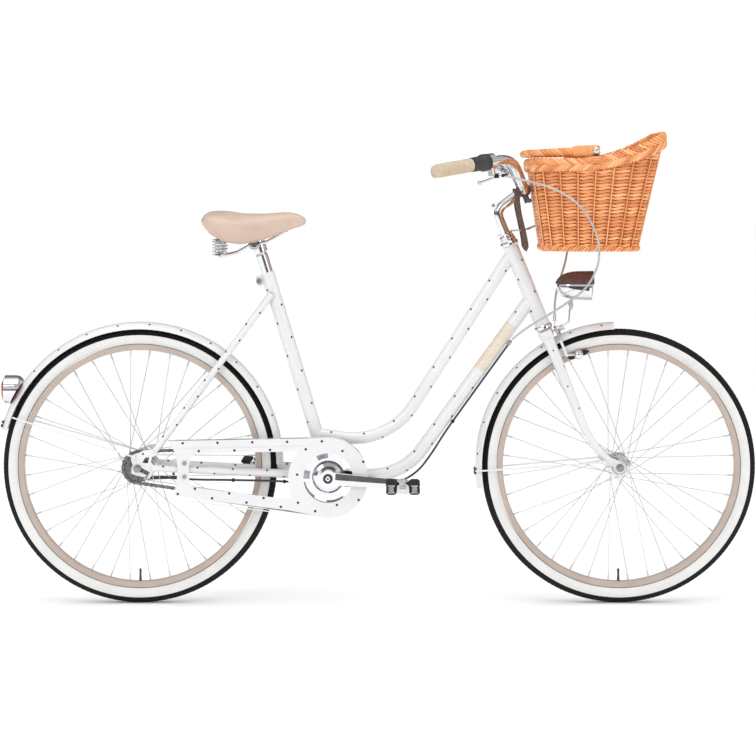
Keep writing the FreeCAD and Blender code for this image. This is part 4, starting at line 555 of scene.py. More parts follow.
fork_dots = Piece("fork_dots", "steering", DOTS)
mudguard_dots(fork_dots, "front_mudguard", FRONT_AXLE, 97, 186)
for side in (-1, 1):
    for height, angle in ((312, -90), (268, -30), (222, -90), (165, -60)):
        spread = 52.5 - 14.5 * height / 345
        width = 6.5 + 3.5 * height / 342
        out = math.radians(angle)
        deep = 13.5 * 0.5 + width * 0.5
        place = at_steer(deep * math.cos(out), height, side * (spread + width * -math.sin(out)))
        normal = Vector((math.cos(out) * STEER_FORWARD.x, -side * math.sin(out),
                         math.cos(out) * STEER_FORWARD.z)).normalized()
        across = STEER_UP.cross(normal).normalized()
        dot = loft([ring(place, across * size, STEER_UP * size, 12) for size in (1.9, 1.2, 0.01)],
                   caps=False)
        fork_dots.add(laid_on("fork_blades", dot))
fork_dots.make()

band = Piece("down_tube_band", "frame", BAND)
rings = []
for i, (centre, along) in enumerate(down_tube):
    if BAND_START <= LINE_STEP * i <= BAND_START + BAND_LENGTH:
        side = along.cross(LEFT)
        rings.append(ring(centre, LEFT * 16, side * 16, 48))
band.add(laid_on("down_tube", loft(rings, caps=False), 0.12))
band.make()


# ---------------------------------------------------------------- tyres

WALL_ANGLE = 71


def tyre(name, axle, body, node_name):
    """A white-walled tyre with a black tread, cut by two grooves and rows of sipes, and its valve."""
    piece = Piece(name, body, TREAD, WALL, BLACK)
    centre_radius, section, steps = 301.0, 21.0, 720
    angles = [-135, -122, -108, -95, -84, -76, -72.5, -71.5, -66, -62, -53, -44, -42, -40, -38, -28,
              -19, -17.5, -14.5, -13, -5]
    angles += [-angle for angle in reversed(angles)]
    rings = []
    for step in range(steps):
        out, _ = wheel_directions(360 * step / steps)
        sipe = step % 4 == 0
        one = []
        for angle in angles:
            size = section
            flank = abs(angle)
            if flank > 122:
                size -= 1.2
            elif 14 < flank < 18:
                size -= 1.1
            elif 39 < flank < 43:
                size -= 0.9
            elif flank < 66 and sipe:
                size -= 0.7 if flank > 18 else 0.35
            elif flank in (71.5, 66):
                size += 0.15
            where = math.radians(angle)
            one.append(axle + out * (centre_radius + size * math.cos(where))
                       + LEFT * (size * math.sin(where)))
        rings.append(one)
    verts, faces = loft(rings, closed=True)
    sides = len(angles)
    piece.add((verts, faces))
    for number in range(len(faces)):
        k = number % sides
        if k == sides - 1 or min(abs(angles[k]), abs(angles[k + 1])) >= WALL_ANGLE:
            piece.indexes[number] = 1
    down = Vector((0, 0, -1))
    piece.add(turned([(3.1, 286), (3.1, 271), (3.0, 262), (2.6, 261), (2.6, 250), (2.9, 249.5),
                      (2.9, 244), (2.2, 243)], axle, down, 16), 2)
    piece.make([node_name])


tyre("front_tyre_tread", FRONT_AXLE, "front_wheel", "front_tyre")
tyre("rear_tyre_tread", REAR_AXLE, "rear_wheel", "rear_tyre")


# ---------------------------------------------------------------- chain

PITCH = 12.7


def pitch_line():
    """The chain's centre line round both chain wheels, as a function of the distance along it."""
    big, small = (PITCH / (2 * math.sin(math.pi / teeth)) for teeth in (38, 18))
    gap = REAR_AXLE - BRACKET
    distance = gap.length
    slope = math.asin((big - small) / distance)
    heading = math.atan2(gap.z, gap.x)
    touch = math.pi / 2 - slope
    run = distance * math.cos(slope)
    lengths = [run, small * 2 * touch, run, big * (2 * math.pi - 2 * touch)]
    leave = Vector((big * math.cos(touch), big * math.sin(touch)))
    meet = Vector((distance + small * math.cos(touch), small * math.sin(touch)))

    def at(place):
        place %= sum(lengths)
        part = 0
        while place >= lengths[part]:
            place -= lengths[part]
            part += 1
        share = place / lengths[part]
        if part in (0, 2):
            x, y = leave.lerp(meet, share) if part == 0 else meet.lerp(leave, share)
            y = -y if part == 2 else y
        else:
            middle, radius = (distance, small) if part == 1 else (0, big)
            angle = (touch if part == 1 else -touch) - place / radius
            x, y = middle + radius * math.cos(angle), radius * math.sin(angle)
        return BRACKET + Vector((x * math.cos(heading) - y * math.sin(heading), -43,
                                 x * math.sin(heading) + y * math.cos(heading)))

    return at, sum(lengths)


def link_plate(start, end, y, thickness):
    """A chain plate, waisted between its two pins."""
    along = (end - start).normalized()
    up = along.cross(RIGHT)
    middle = (start + end) / 2
    half = (end - start).length / 2
    outline = []
    for sign in (1, -1):
        for k in range(7):
            turn = math.radians(-75 + 25 * k)
            outline.append((sign * (half + 4.0 * math.cos(turn)), sign * 4.0 * math.sin(turn)))
        outline.append((0, sign * 2.9))
    return slab(outline, middle, along, up, RIGHT, ((y - thickness / 2, 1), (y + thickness / 2, 1)))


chain = Piece("chain_links", "frame", CHAIN)
along_chain, chain_length = pitch_line()
links = 2 * round(chain_length / PITCH / 2)
places = [along_chain(i * chain_length / links) for i in range(links)]
for i, start in enumerate(places):
    end = places[(i + 1) % links]
    spread = 2.9 if i % 2 else 3.95
    for side in (1, -1):
        chain.add(link_plate(start, end, side * spread, 0.9), tone=0.4)
    chain.add(turned([(1.7, -4.5), (1.7, 4.5)], start, RIGHT, 10))
    chain.add(turned([(3.8, -2.4), (3.8, 2.4)], start, RIGHT, 12))
chain.make(["chain"])


# ---------------------------------------------------------------- pedals

CRANK_DROP = math.radians(4.2)
CRANK_LENGTH, PEDAL_START = 175, 84.5
TREAD_MIDDLE, TREAD_START, TREAD_STEP, TREAD_RINGS = 26.5, 3, 2, 45
TREAD_QUARTER = [(6.5, 0), (7.5, 3.2), (12.6, 6.5), (12.2, 10), (7, 13.6)]
END_QUARTER = [(6.2, 0), (5.4, 5.6), (8.6, 7.2), (8, 9.2)]


def pedal(name, side, body, node_name):
    """A city pedal: an alloy core and two waisted treads of ribbed rubber with steel ends."""
    piece = Piece(name, body, ALLOY, PAD, ZINC)
    out = RIGHT if side == 1 else LEFT
    ahead = Vector((1, 0, 0))
    axis = BRACKET + Vector((math.cos(CRANK_DROP), 0, -math.sin(CRANK_DROP))) * CRANK_LENGTH * side
    base = axis + out * PEDAL_START
    piece.add(turned([(5.4, 0), (12, 0), (12, 3), (10.3, 9), (9.6, 30), (9.6, 70), (10.5, 84), (11, 94),
                      (9.5, 94.2), (5.4, 94.2)], base, out, 28))
    for height, wide in ((4.5, 17), (89, 13.5)):
        plate = four_way([(wide, 7), (0.6 * wide, 11.5)])
        levels = ((-1.5, 0.96), (-1.1, 1), (1.1, 1), (1.5, 0.96))
        piece.add(slab(plate, base + out * height, ahead, UP, out, levels))
    ribs = [1.0 if i % 4 < 2 else 0.93 for i in range(TREAD_RINGS)]
    ribs[0] = ribs[-1] = 0.9
    for reach in (-1, 1):
        middle = base + ahead * reach * TREAD_MIDDLE
        levels = [(TREAD_START + TREAD_STEP * i, scale) for i, scale in enumerate(ribs)]
        piece.add(slab(four_way(TREAD_QUARTER), middle, ahead * reach, UP, out, levels), 1)
        levels = ((90.5, 1), (92.2, 1), (93.2, 0.88))
        piece.add(slab(four_way(END_QUARTER), middle, ahead, UP, out, levels), 2)
    piece.add(turned([(7.6, 90), (7.6, 95), (6.6, 96.6), (3.0, 97.4), (0.1, 97.5)], base, out, 20))
    piece.make([node_name])


pedal("right_pedal_body", 1, "right_pedal", "pedal_right")
pedal("left_pedal_body", -1, "left_pedal", "pedal_left")


# ---------------------------------------------------------------- basket

BASKET_FLOOR = 829.0
random.seed(11)


def rim_height(x):
    """Height of the basket's rim: level behind, then sweeping up to the front."""
    if x <= 450:
        return 1040.0 + 2.0 * (x - 200) / 250
    centre_x, centre_z, radius = 446.0, 1447.0, 405.0
    return centre_z - math.sqrt(max(radius ** 2 - (x - centre_x) ** 2, 0.0))


def outline_at(z, inset, count):
    """Evenly spaced points round the basket at a height, with their outward directions."""
    rise = (z - BASKET_FLOOR) / 280.0
    rear, front = 381 - 40 * rise + inset, 606 + 61 * rise - inset
    half, corner = 140 + 55 * rise - inset, 62 - inset
    corners = [(rear + corner, -half + corner, 180), (front - corner, -half + corner, 270),
               (front - corner, half - corner, 0), (rear + corner, half - corner, 90)]
    line = [(Vector((rear, 0, z)), Vector((-1, 0, 0)))]
    for x, y, first in corners:
        for k in range(25):
            turn = math.radians(first + 90 * k / 24)
            out = Vector((math.cos(turn), math.sin(turn), 0))
            line.append((Vector((x, y, z)) + out * corner, out))
    line.append(line[0])
    lengths = [0.0]
    for (a, _), (b, _) in zip(line, line[1:]):
        lengths.append(lengths[-1] + (b - a).length)
    points, index = [], 0
    for i in range(count):
        target = lengths[-1] * i / count
        while lengths[index + 1] < target:
            index += 1
        gap = lengths[index + 1] - lengths[index]
        share = (target - lengths[index]) / gap if gap else 0
        (a, na), (b, nb) = line[index], line[index + 1]
        points.append((a.lerp(b, share), na.lerp(nb, share).normalized()))
    return points


STAKES = 28
PER_STAKE = 12
COUNT = STAKES * PER_STAKE
ROW_PITCH, HIGHEST_ROW = 7.7, 1098

basket = Piece("basket_weave", "steering", WILLOW)


def braid_bottom(x):
    """Height of the lower edge of the rim braid, where the weave ends."""
    return rim_height(x) - 27.0 - max(0.0, x - 560) * 0.10


def add_row(z):
    """Weavers behind each outer stake, bulging outwards between two; each rod spans a few stakes."""
    points = outline_at(z, 4.4, COUNT)
    run, inner_run, left = [], [], 0
    for i in range(COUNT + 1):
        k = i % COUNT
        (point, out), phase = points[k], 2 * math.pi * (k / PER_STAKE)
        if k % PER_STAKE == 0:
            drift = random.uniform(-0.7, 0.7)
            lean = random.uniform(0.6, 1.9)
            fat = random.uniform(0.88, 1.1)
            left -= 1
        shown = point.x < 200 or z < braid_bottom(point.x)
        if run and (left <= 0 and k % PER_STAKE == 0 or not shown or i == COUNT):
            if len(run) > 3:
                basket.add(loft(run), tone=random.uniform(0.2, 0.85), sides=8)
                # The inner weavers take a darker tone range than the outer ones: painted shade in the gaps
                # between the rods.
                basket.add(loft(inner_run), tone=random.uniform(0.1, 0.6), sides=8)
            run, inner_run = [], []
        if left <= 0:
            left = random.randint(2, 6)
        if shown and i < COUNT:
            bulge = 0.5 - 0.5 * math.cos(phase)
            tall = (1.5 + 2.1 * bulge ** 0.6) * fat
            place = point + out * (-3.2 + 4.9 * bulge) + UP * (drift * bulge - math.sin(phase) * lean)
            run.append(ring(place, out * 1.75, UP * tall, 8))
            inner = 1.0 - bulge
            place = point + out * (-8.0 + 1.3 * inner) + UP * (math.sin(phase) * lean)
            inner_run.append(ring(place, out * 1.6, UP * (2.4 + 1.6 * inner), 8))


z = BASKET_FLOOR + 15.0
while z < HIGHEST_ROW:
    add_row(z)
    z += ROW_PITCH

levels = [BASKET_FLOOR + 2 + 9.0 * i for i in range(31)]
stake_lines = [outline_at(z, 4.4, COUNT) for z in levels]
for stake in range(2 * STAKES):
    k = stake * PER_STAKE // 2
    outer = stake % 2 == 0
    line = []
    for places in stake_lines:
        point, out = places[k]
        if point.z < braid_bottom(point.x) + 8:
            line.append(point + out * (0.5 if outer else -3.6))
    basket.add(tube(line, 1.8 if outer else 2.6, 8), tone=random.uniform(0.4, 0.75), sides=8)

floor_z = BASKET_FLOOR + 5.5
for number in range(33):
    y = -126 + 252 * number / 32
    ends = 385 + max(0, abs(y) - 82) ** 2 / 90, 602 - max(0, abs(y) - 82) ** 2 / 90
    line = [Vector((ends[0] + (ends[1] - ends[0]) * i / 40, y,
                    floor_z + 2.2 * math.cos(math.pi * (i / 5 + number)))) for i in range(41)]
    basket.add(tube(line, 3.2, 6), tone=random.uniform(0.2, 0.7), sides=6)
for number in range(9):
    x = 392 + 202 * number / 8
    line = [Vector((x, -130 + 260 * i / 12, floor_z)) for i in range(13)]
    basket.add(tube(line, 2.6, 6), tone=random.uniform(0.4, 0.8), sides=6)
basket.make(["basket"])

rim = Piece("basket_rim", "steering", WILLOW)
RIM_COUNT = 660


def rim_frame(place):
    """Centre, outward direction and half height of the rim braid at a share of the way round."""
    point, out = RIM_LINE[int(place) % RIM_COUNT]
    high = rim_height(point.x)
    tall = 16.5 + max(0.0, point.x - 520) * 0.03
    return Vector((point.x, point.y, high - tall + 3.5)), out, tall


RIM_LOW, RIM_HIGH = 1045, 1100
RIM_LINE = []
for (low_point, out), (high_point, _) in zip(outline_at(RIM_LOW, 5.5, RIM_COUNT),
                                             outline_at(RIM_HIGH, 5.5, RIM_COUNT)):
    share = min(max((rim_height(low_point.x) - RIM_LOW) / (RIM_HIGH - RIM_LOW), -0.1), 1.0)
    RIM_LINE.append((low_point.lerp(high_point, share), out))

STROKES = 150
for stroke in range(STROKES):
    for family in (1, -1):
        tone = random.uniform(0.15, 0.95)
        line = []
        for k in range(15):
            turn = math.radians(-16 + 212 * k / 14) * family
            place = (stroke + (0.5 if family < 0 else 0)) * RIM_COUNT / STROKES
            place -= 12.0 * abs(math.sin(turn)) ** 0.8
            centre, out, tall = rim_frame(place)
            deep = 5.6 - (1.3 if k in (0, 14) else 0) + (0.7 if 2 < k < 12 else 0)
            line.append(centre + out * (deep * math.cos(turn) - 0.5)
                        + UP * ((tall - 3.4) * math.sin(turn)))
        rim.add(tube(line, lambda share: 3.5 - 1.3 * abs(2 * share - 1) ** 4, 7), tone=tone, sides=7)

foot_line = outline_at(BASKET_FLOOR + 6.5, 3.6, 420)
for strand in range(3):
    rings = []
    for i, (point, out) in enumerate(foot_line):
        turn = 2 * math.pi * (i / 420 * 36 + strand / 3)
        place = point + out * (3.1 * math.cos(turn)) + UP * (3.6 * math.sin(turn))
        rings.append(ring(place, out * 3.2, UP * 3.4, 7))
    rim.add(loft(rings, closed=True), tone=0.35 + 0.2 * strand, sides=7)
rim.make()


# ---------------------------------------------------------------- basket handle

HANDLE_STEP, ROPE_LAY, WRAP_TURNS = 3.0, 44.0, 13


def rope_size(share):
    """The rope is thicker towards its two hinges."""
    return 1 + 0.45 * abs(2 * share - 1) ** 4


handle_route = rounded_path([Vector((506, -175, 1061)), Vector((346, -152, 1055)),
                             Vector((346, 152, 1055)), Vector((506, 175, 1061))], [80, 80], HANDLE_STEP)
handle = Piece("basket_handle_rope", "carry_handle", WILLOW)
frames = frames_along(handle_route)
for strand in range(4):
    line = []
    for i, (point, (normal, side)) in enumerate(zip(handle_route, frames)):
        turn = 2 * math.pi * (i * HANDLE_STEP / ROPE_LAY + strand / 4)
        reach = 4.6 * rope_size(i / len(handle_route))
        line.append(point + (normal * math.cos(turn) + side * math.sin(turn)) * reach)
    rope = tube(line, lambda share: 4.2 * rope_size(share), 8)
    handle.add(rope, tone=0.3 + 0.15 * strand, sides=8)
for step in (1, -1):
    order, wraps, line = handle_route[::step], frames[::step], []
    for number in range(WRAP_TURNS * 16):
        place = 2.5 + number / WRAP_TURNS
        index = int(place)
        point = order[index].lerp(order[index + 1], place - index)
        normal, side = wraps[index]
        angle = 2 * math.pi * number / 16
        line.append(point + (normal * math.cos(angle) + side * math.sin(angle)) * 11.6)
    handle.add(tube(line, 2.0, 6), tone=0.7, sides=6)
handle.make(["basket_handle"])

hinges = Piece("handle_hinge_covers", "steering", ALLOY, WILLOW)
for side in (RIGHT, LEFT):
    pin = Vector((500, 0, 1061)) + side * 187.8
    hinges.add(turned([(6.8, 0), (6.8, 0.8), (5.6, 2.2), (2.8, 3.1), (2.6, 3.9), (0.1, 4.2)], pin, side, 24))
    for number in range(3):
        line = [Vector((500 + 1.1 * k, 0, 1034.5 + 5.2 * number)) + side * (184 + 6 * math.cos(k * 0.15))
                for k in range(-10, 11)]
        hinges.add(tube(line, 2.8, 8), 1, tone=0.4 + 0.15 * number, sides=8)
hinges.make()


# ---------------------------------------------------------------- basket straps

straps = Piece("leather_straps", "steering", STRAP, CHROME)
CLAMP = Vector((342, 0, 970.5))
for side in (-1, 1):
    middle = CLAMP + Vector((0, side * 39, 0))
    band_rings = [(14.9 if abs(share) == 1 else 15.5, 7.2 * share)
                  for share in (-1, -0.94, -0.4, 0.4, 0.94, 1)]
    straps.add(turned([(11.3, -7.0)] + band_rings + [(11.3, 7.0)], middle, LEFT, 40))
    tongue = middle + Vector((15.1, 0, -1))
    straps.add(block(tongue, Vector((3.2, 0, 0)), LEFT * 7, UP * 1.7, 0.6))
    straps.add(block(middle + Vector((15.6, 0, 4.5)), Vector((0.9, 0, 0)), LEFT * 8.6, UP * 6.5, 0.5), 1)
    rings = []
    for i in range(41):
        share = i / 40
        turn = math.radians(82 - 26 * math.sin(share * 3.4))
        centre = middle + Vector((-17.5 + 21 * share - 2.5 * math.sin(share * 5.5), 0, 3 - 147 * share))
        wide = Vector((math.sin(turn), math.cos(turn) * side, 0))
        thin = wide.cross(UP)
        half = 6.6 if i < 38 else 6.6 - 1.9 * (i - 37)
        rings.append([centre + wide * half * a + thin * 1.5 * b for a, b in
                      ((1, -0.5), (1, 0.5), (0.9, 1), (-0.9, 1), (-1, 0.5), (-1, -0.5), (-0.9, -1),
                       (0.9, -1))])
    straps.add(loft(rings))
straps.make(["basket_straps"])


# ---------------------------------------------------------------- cables

BRAKE_ROUTE = [(300, 170, 1012), (338, 192, 1004), (385, 205, 975), (425, 208, 930), (452, 196, 880),
               (458, 160, 836), (448, 108, 795), (430, 62, 752), (417, 34, 708), (417, 22, 672)]
LOOP_ROUTE = [(284.2, -195, 1004), (318, -202, 998), (350, -207, 989.5), (404, -213, 975),
              (463, -212, 938), (498, -202, 879), (508, -186, 835), (506, -162, 795), (484, -125, 746),
              (449, -92, 715), (395, -55, 677), (340, -25, 642), (315.4, -13, 619.4)]
LOWER_ROUTE = [(313, -12, 617), (275, -12, 564.5), (235, -12, 509.5), (195, -12, 454), (156, -12, 399.5),
               (126, -12, 351), (92, -12, 306), (42, -12, 280), (-14, -12, 276.5), (-74, -12, 274.5),
               (-134, -17, 278), (-190, -27, 285.5), (-248, -33, 289.5), (-308, -40, 291.5),
               (-368, -47, 293.4), (-428, -53, 294.5), (-486, -57, 299)]
CABLE_RADIUS = 2.5


def cable_curve(name, route, body, node_name, cover=HOUSING):
    """A cable as a smooth curve through its route, with a round section."""
    curve = bpy.data.curves.new(name, "CURVE")
    curve.dimensions = "3D"
    line = curve.splines.new("NURBS")
    line.points.add(len(route) - 1)
    for point, place in zip(line.points, route):
        point.co = (place[0] * MM, place[1] * MM, place[2] * MM, 1)
    line.order_u = 3
    line.use_endpoint_u = True
    line.resolution_u = 16
    curve.bevel_depth = CABLE_RADIUS * MM
    curve.bevel_resolution = 4
    curve.use_fill_caps = True
    curve.materials.append(cover)
    item = placed(name, curve)
    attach(item, body)
    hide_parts(node_name)
    return item


def smooth_route(route, steps=14):
    """The same curve as points: each corner of the route is one quadratic arc."""
    points = [Vector(place) for place in route]
    line = []
    for i in range(1, len(points) - 1):
        start = points[0] if i == 1 else (points[i - 1] + points[i]) / 2
        end = points[-1] if i == len(points) - 2 else (points[i] + points[i + 1]) / 2
        for k in range(steps):
            share = k / steps
            line.append(start.lerp(points[i], share).lerp(points[i].lerp(end, share), share))
    return line + [points[-1]]


cable_curve("front_brake_cable", BRAKE_ROUTE, "steering", "brake_cable")
cable_curve("hub_gear_cable", LOWER_ROUTE, "frame", "gear_cable", PLASTIC)
loop_line = smooth_route(LOOP_ROUTE)
loop = Piece("gear_cable_bend", None, HOUSING)
loop.add(tube(loop_line, CABLE_RADIUS, 12))
loop_item = loop.make(["gear_cable_loop"])
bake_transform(loop_item)

fittings = Piece("cable_clips", "frame", PAD, ZINC)
for near, far, share in ((0, 1, 0.12), (3, 4, 0.5), (11, 12, 0.5), (13, 14, 0.5)):
    start, end = Vector(LOWER_ROUTE[near]), Vector(LOWER_ROUTE[far])
    half = 6 if near == 0 else 3
    profile = [(2.6, -half), (3.9, -half), (4.3, 0.7 - half), (4.3, half - 0.7), (3.9, half), (2.6, half)]
    fittings.add(turned(profile, start.lerp(end, share), end - start, 20), 1 if near == 0 else 0)
fittings.make()

adjuster = Piece("brake_cable_adjuster", "steering", ALLOY, SPOKE)
cable_end = Vector(BRAKE_ROUTE[-1])
down_cable = cable_end - Vector(BRAKE_ROUTE[-2])
barrel = [(2.9, -3), (3.9, -2.6), (3.9, 4.4), (3.2, 5), (3.2, 9), (4.3, 9.4), (4.3, 12), (2.0, 12.6)]
inner_wire = [(0.8, 10), (0.8, 27), (2.2, 27.2), (2.2, 30), (0.8, 30.2)]
adjuster.add(turned(barrel, cable_end, down_cable, 20))
adjuster.add(turned(inner_wire, cable_end, down_cable, 12), 1)
adjuster.make()

boots = Piece("cable_boots", "steering", PAD)
shift_exit = Vector((262, -193, 1003))
boots.add(turned([(4.2, 4), (5.3, 5), (5.3, 15), (4.6, 17), (3.8, 24), (3.2, 34), (2.7, 36)],
                 shift_exit, Vector((22, -2, 1)), 20))
boots.make()


# ---------------------------------------------------------------- saddle

def applied(item, kind, **settings):
    """Adds a modifier and makes its result the object's own mesh."""
    modifier = item.modifiers.new(kind, kind)
    for name, setting in settings.items():
        setattr(modifier, name, setting)
    item.data = bpy.data.meshes.new_from_object(
        item.evaluated_get(bpy.context.evaluated_depsgraph_get()))
    item.modifiers.clear()


def stuffed(item, pressure=4.0, most=0.0028):
    """Leather over foam: the top swells a little under pressure while the underside is held."""
    held = item.vertex_groups.new(name="held")
    for vertex in item.data.vertices:
        underside = max(0.0, min(1.0, (-vertex.normal.z + 0.1) * 2.5))
        if underside > 0:
            held.add([vertex.index], underside, "REPLACE")
    start = [vertex.co.copy() for vertex in item.data.vertices]
    cloth = item.modifiers.new("cloth", "CLOTH")
    settings = {"quality": 5, "mass": 0.4, "tension_stiffness": 25, "compression_stiffness": 25,
                "bending_stiffness": 3.0, "use_pressure": True, "uniform_pressure_force": pressure,
                "vertex_group_mass": "held"}
    for name, setting in settings.items():
        setattr(cloth.settings, name, setting)
    cloth.settings.effector_weights.gravity = 0
    cloth.point_cache.frame_end = 20
    for number in range(1, 21):
        bpy.context.scene.frame_set(number)
    shaped = item.evaluated_get(bpy.context.evaluated_depsgraph_get()).data
    moved = [vertex.co.copy() for vertex in shaped.vertices]
    item.modifiers.clear()
    bpy.context.scene.frame_set(1)
    for vertex, before, after in zip(item.data.vertices, start, moved):
        step = after - before
        vertex.co = before + step * min(1.0, most / max(step.length, 1e-9))


# x, half width, top, lower edge and roof of the hollow, from the tail to the nose
SADDLE_SECTIONS = [(-414, 40, 903, 891, 893), (-404, 74, 916, 881, 884), (-385, 95, 921, 866, 870),
                   (-355, 101, 921, 852, 863), (-325, 92, 916.5, 845.5, 863), (-297, 71, 914.5, 848, 863),
                   (-268, 47, 914.5, 855, 868), (-238, 33.5, 917, 864.5, 876), (-208, 25.5, 918, 875, 883),
                   (-184, 19.5, 912.5, 883, 886), (-169, 11, 902, 889, 891)]


def saddle_outline(x, half, top, low, roof):
    """One section of the saddle: domed above, with a skirt down each side and a hollow between."""
    middle = low + 0.55 * (top - low)
    outer = []
    for k in range(17):
        turn = math.pi * k / 16
        outer.append((half * math.cos(turn), middle + (top - middle) * math.sin(turn)))
    skirt = []
    for k in range(1, 8):
        share = k / 7
        skirt.append((half * (1 - 0.16 * share ** 2.4), middle + (low - middle) * share))
    inner_half = max(half * 0.84 - 10, half * 0.3)
    inner = [(inner_half, low + 1.5), (inner_half * 0.9, (low + roof) / 2), (inner_half * 0.6, roof)]
    left = [(-y, z) for y, z in skirt + inner]
    right = [(y, z) for y, z in skirt + inner][::-1]
    return [Vector((x, y, z)) for y, z in outer + left + right]


def smooth_sections(sections, steps=6):
    """Sections filled in between the given ones along a smooth curve."""
    filled = []
    for i in range(len(sections) - 1):
        rows = [sections[max(0, min(len(sections) - 1, i + k))] for k in (-1, 0, 1, 2)]
        for k in range(steps):
            t = k / steps
            filled.append([(b * 2 + (c - a) * t + (a * 2 - b * 5 + c * 4 - d) * t ** 2
                            + (b * 3 - a - c * 3 + d) * t ** 3) / 2 for a, b, c, d in zip(*rows)])
    return filled + [list(sections[-1])]


cover = Piece("saddle_leather", None, SADDLE)
cover.add(loft([saddle_outline(*section) for section in smooth_sections(SADDLE_SECTIONS)]))
saddle = cover.make(["saddle_cover"], sharp=180)
applied(saddle, "REMESH", mode="VOXEL", voxel_size=0.004, use_smooth_shade=True)
applied(saddle, "SMOOTH", factor=0.5, iterations=4)
stuffed(saddle)
applied(saddle, "SUBSURF", levels=1)
for face in saddle.data.polygons:
    face.use_smooth = True
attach(saddle, "seat")

welt = Piece("saddle_welt", "seat", SADDLE, BLACK)
for side in (-1, 1):
    line = [Vector((x, side * (half * 0.84 - 1.4), low + 0.6))
            for x, half, _, low, _ in smooth_sections(SADDLE_SECTIONS)[9:-13]]
    welt.add(tube(line, lambda share: 1.5 * min(1.0, 8 * share + 0.2, 8.2 - 8 * share), 8))
roof_rings = []
for x, half, _, low, roof in smooth_sections(SADDLE_SECTIONS)[8:-14]:
    inner_half = max(half * 0.84 - 10, half * 0.3) * 0.9
    roof_rings.append([Vector((x, y * inner_half, roof - 0.8 - abs(y) * 1.5)) for y in (-1, -0.6, 0, 0.6, 1)]
                      + [Vector((x, y * inner_half, roof + 1)) for y in (1, 0, -1)])
welt.add(loft(roof_rings), 1)
welt.make()

clamp = Piece("saddle_clamp_washers", "seat", CHROME, BLACK)
CLAMP_CENTRE = BRACKET + SEAT_UP * 571 - Vector((SEAT_UP.z, 0, -SEAT_UP.x)) * 8
for side in (RIGHT, LEFT):
    place = CLAMP_CENTRE + side * 25
    clamp.add(turned([(13.4, 0), (13.4, 1.0), (12.2, 1.6), (8.2, 1.6)], place, side, 32), 0)
    clamp.add(turned([(12.0, 1.0), (12.0, 1.9), (10.6, 1.9), (10.6, 1.0)], place, side, 32), 1)
clamp.make()


# ---------------------------------------------------------------- headlamp painted reflection

# A black band laid over the chrome housing's sides, widening towards the front: a painted dark reflection on
# the chrome.
lamp_reflection = Piece("headlamp_painted_reflection", "headlamp", BLACK)
REFLECTION_STEPS, REFLECTION_ROWS, REFLECTION_TOP = 18, 7, 744.0
faces = [tuple(i * REFLECTION_ROWS + k + corner for corner in (0, 1, REFLECTION_ROWS + 1, REFLECTION_ROWS))
         for i in range(REFLECTION_STEPS) for k in range(REFLECTION_ROWS - 1)]
for side in (-1, 1):
    points = []
    for i in range(REFLECTION_STEPS + 1):
        share = i / REFLECTION_STEPS
        low = REFLECTION_TOP - 1 - 12.0 * share ** 0.5
        points += [Vector((441 + 54 * share, side * 45, low + (REFLECTION_TOP - low) * k / 6)) for k in range(7)]
    lamp_reflection.add(laid_on("headlamp_housing", (points, faces), 0.3))
lamp_reflection.make()


# ---------------------------------------------------------------- drive side details

ARM_FACE = 83
details = Piece("crank_caps", "crankset", CHROME, BLACK)
for number in range(5):
    out, _ = wheel_directions(72 * number + 20)
    details.add(turned([(3.9, 0), (3.9, 1.2), (2.9, 2.0), (0.1, 2.2)], BRACKET + out * 34 + RIGHT * 47,
                       RIGHT, 16), 0)
for side in (RIGHT, LEFT):
    details.add(turned([(11.5, 0), (11.5, 1.2), (10.6, 1.9), (7.2, 1.9), (6.6, 1.2)],
                       BRACKET + side * ARM_FACE, side, 32), 1)
    details.add(turned([(5.6, 0), (5.6, 1.6), (4.6, 2.3), (2.4, 2.3), (2.2, 1.0), (0.1, 1.0)],
                       BRACKET + side * ARM_FACE, side, 24), 0)
details.make()

# distance from the spindle, half width and height of the ridge along each arm's outer face
ARM_SECTIONS = ((17, 13.6, 0.2), (20, 13.3, 1.5), (165, 10.0, 1.2), (171, 9.6, 0.2))
crank_faces = Piece("crank_faces", "crankset", CHROME)
for side in (-1, 1):
    reach = Vector((math.cos(CRANK_DROP), 0, -math.sin(CRANK_DROP))) * -side
    across = Vector((math.sin(CRANK_DROP), 0, math.cos(CRANK_DROP)))
    out = LEFT * side
    rings = []
    for distance, half, ridge in ARM_SECTIONS:
        centre = BRACKET + reach * distance
        rings.append([centre + across * up + out * (ARM_FACE + lift) for up, lift in
                      ((half, -0.5), (half, 0.05), (-1.5, ridge), (-half, 0.05), (-half, -0.5))])
    crank_faces.add(loft(rings))
crank_faces.make(sharp=3.0)

guard_beads = Piece("guard_beads", "frame", ENAMEL)
for start, end in (((-352, -67.3, 69.5), (-20, -67.3, 76)), ((-350, -67.3, -50), (-120, -67.3, -80))):
    points = [BRACKET + Vector(start).lerp(Vector(end), k / 30) for k in range(31)]
    guard_beads.add(tube(points, lambda share: 1.3 * min(1.0, 12 * share, 12 * (1 - share)) + 0.05, 8))
guard_beads.make()


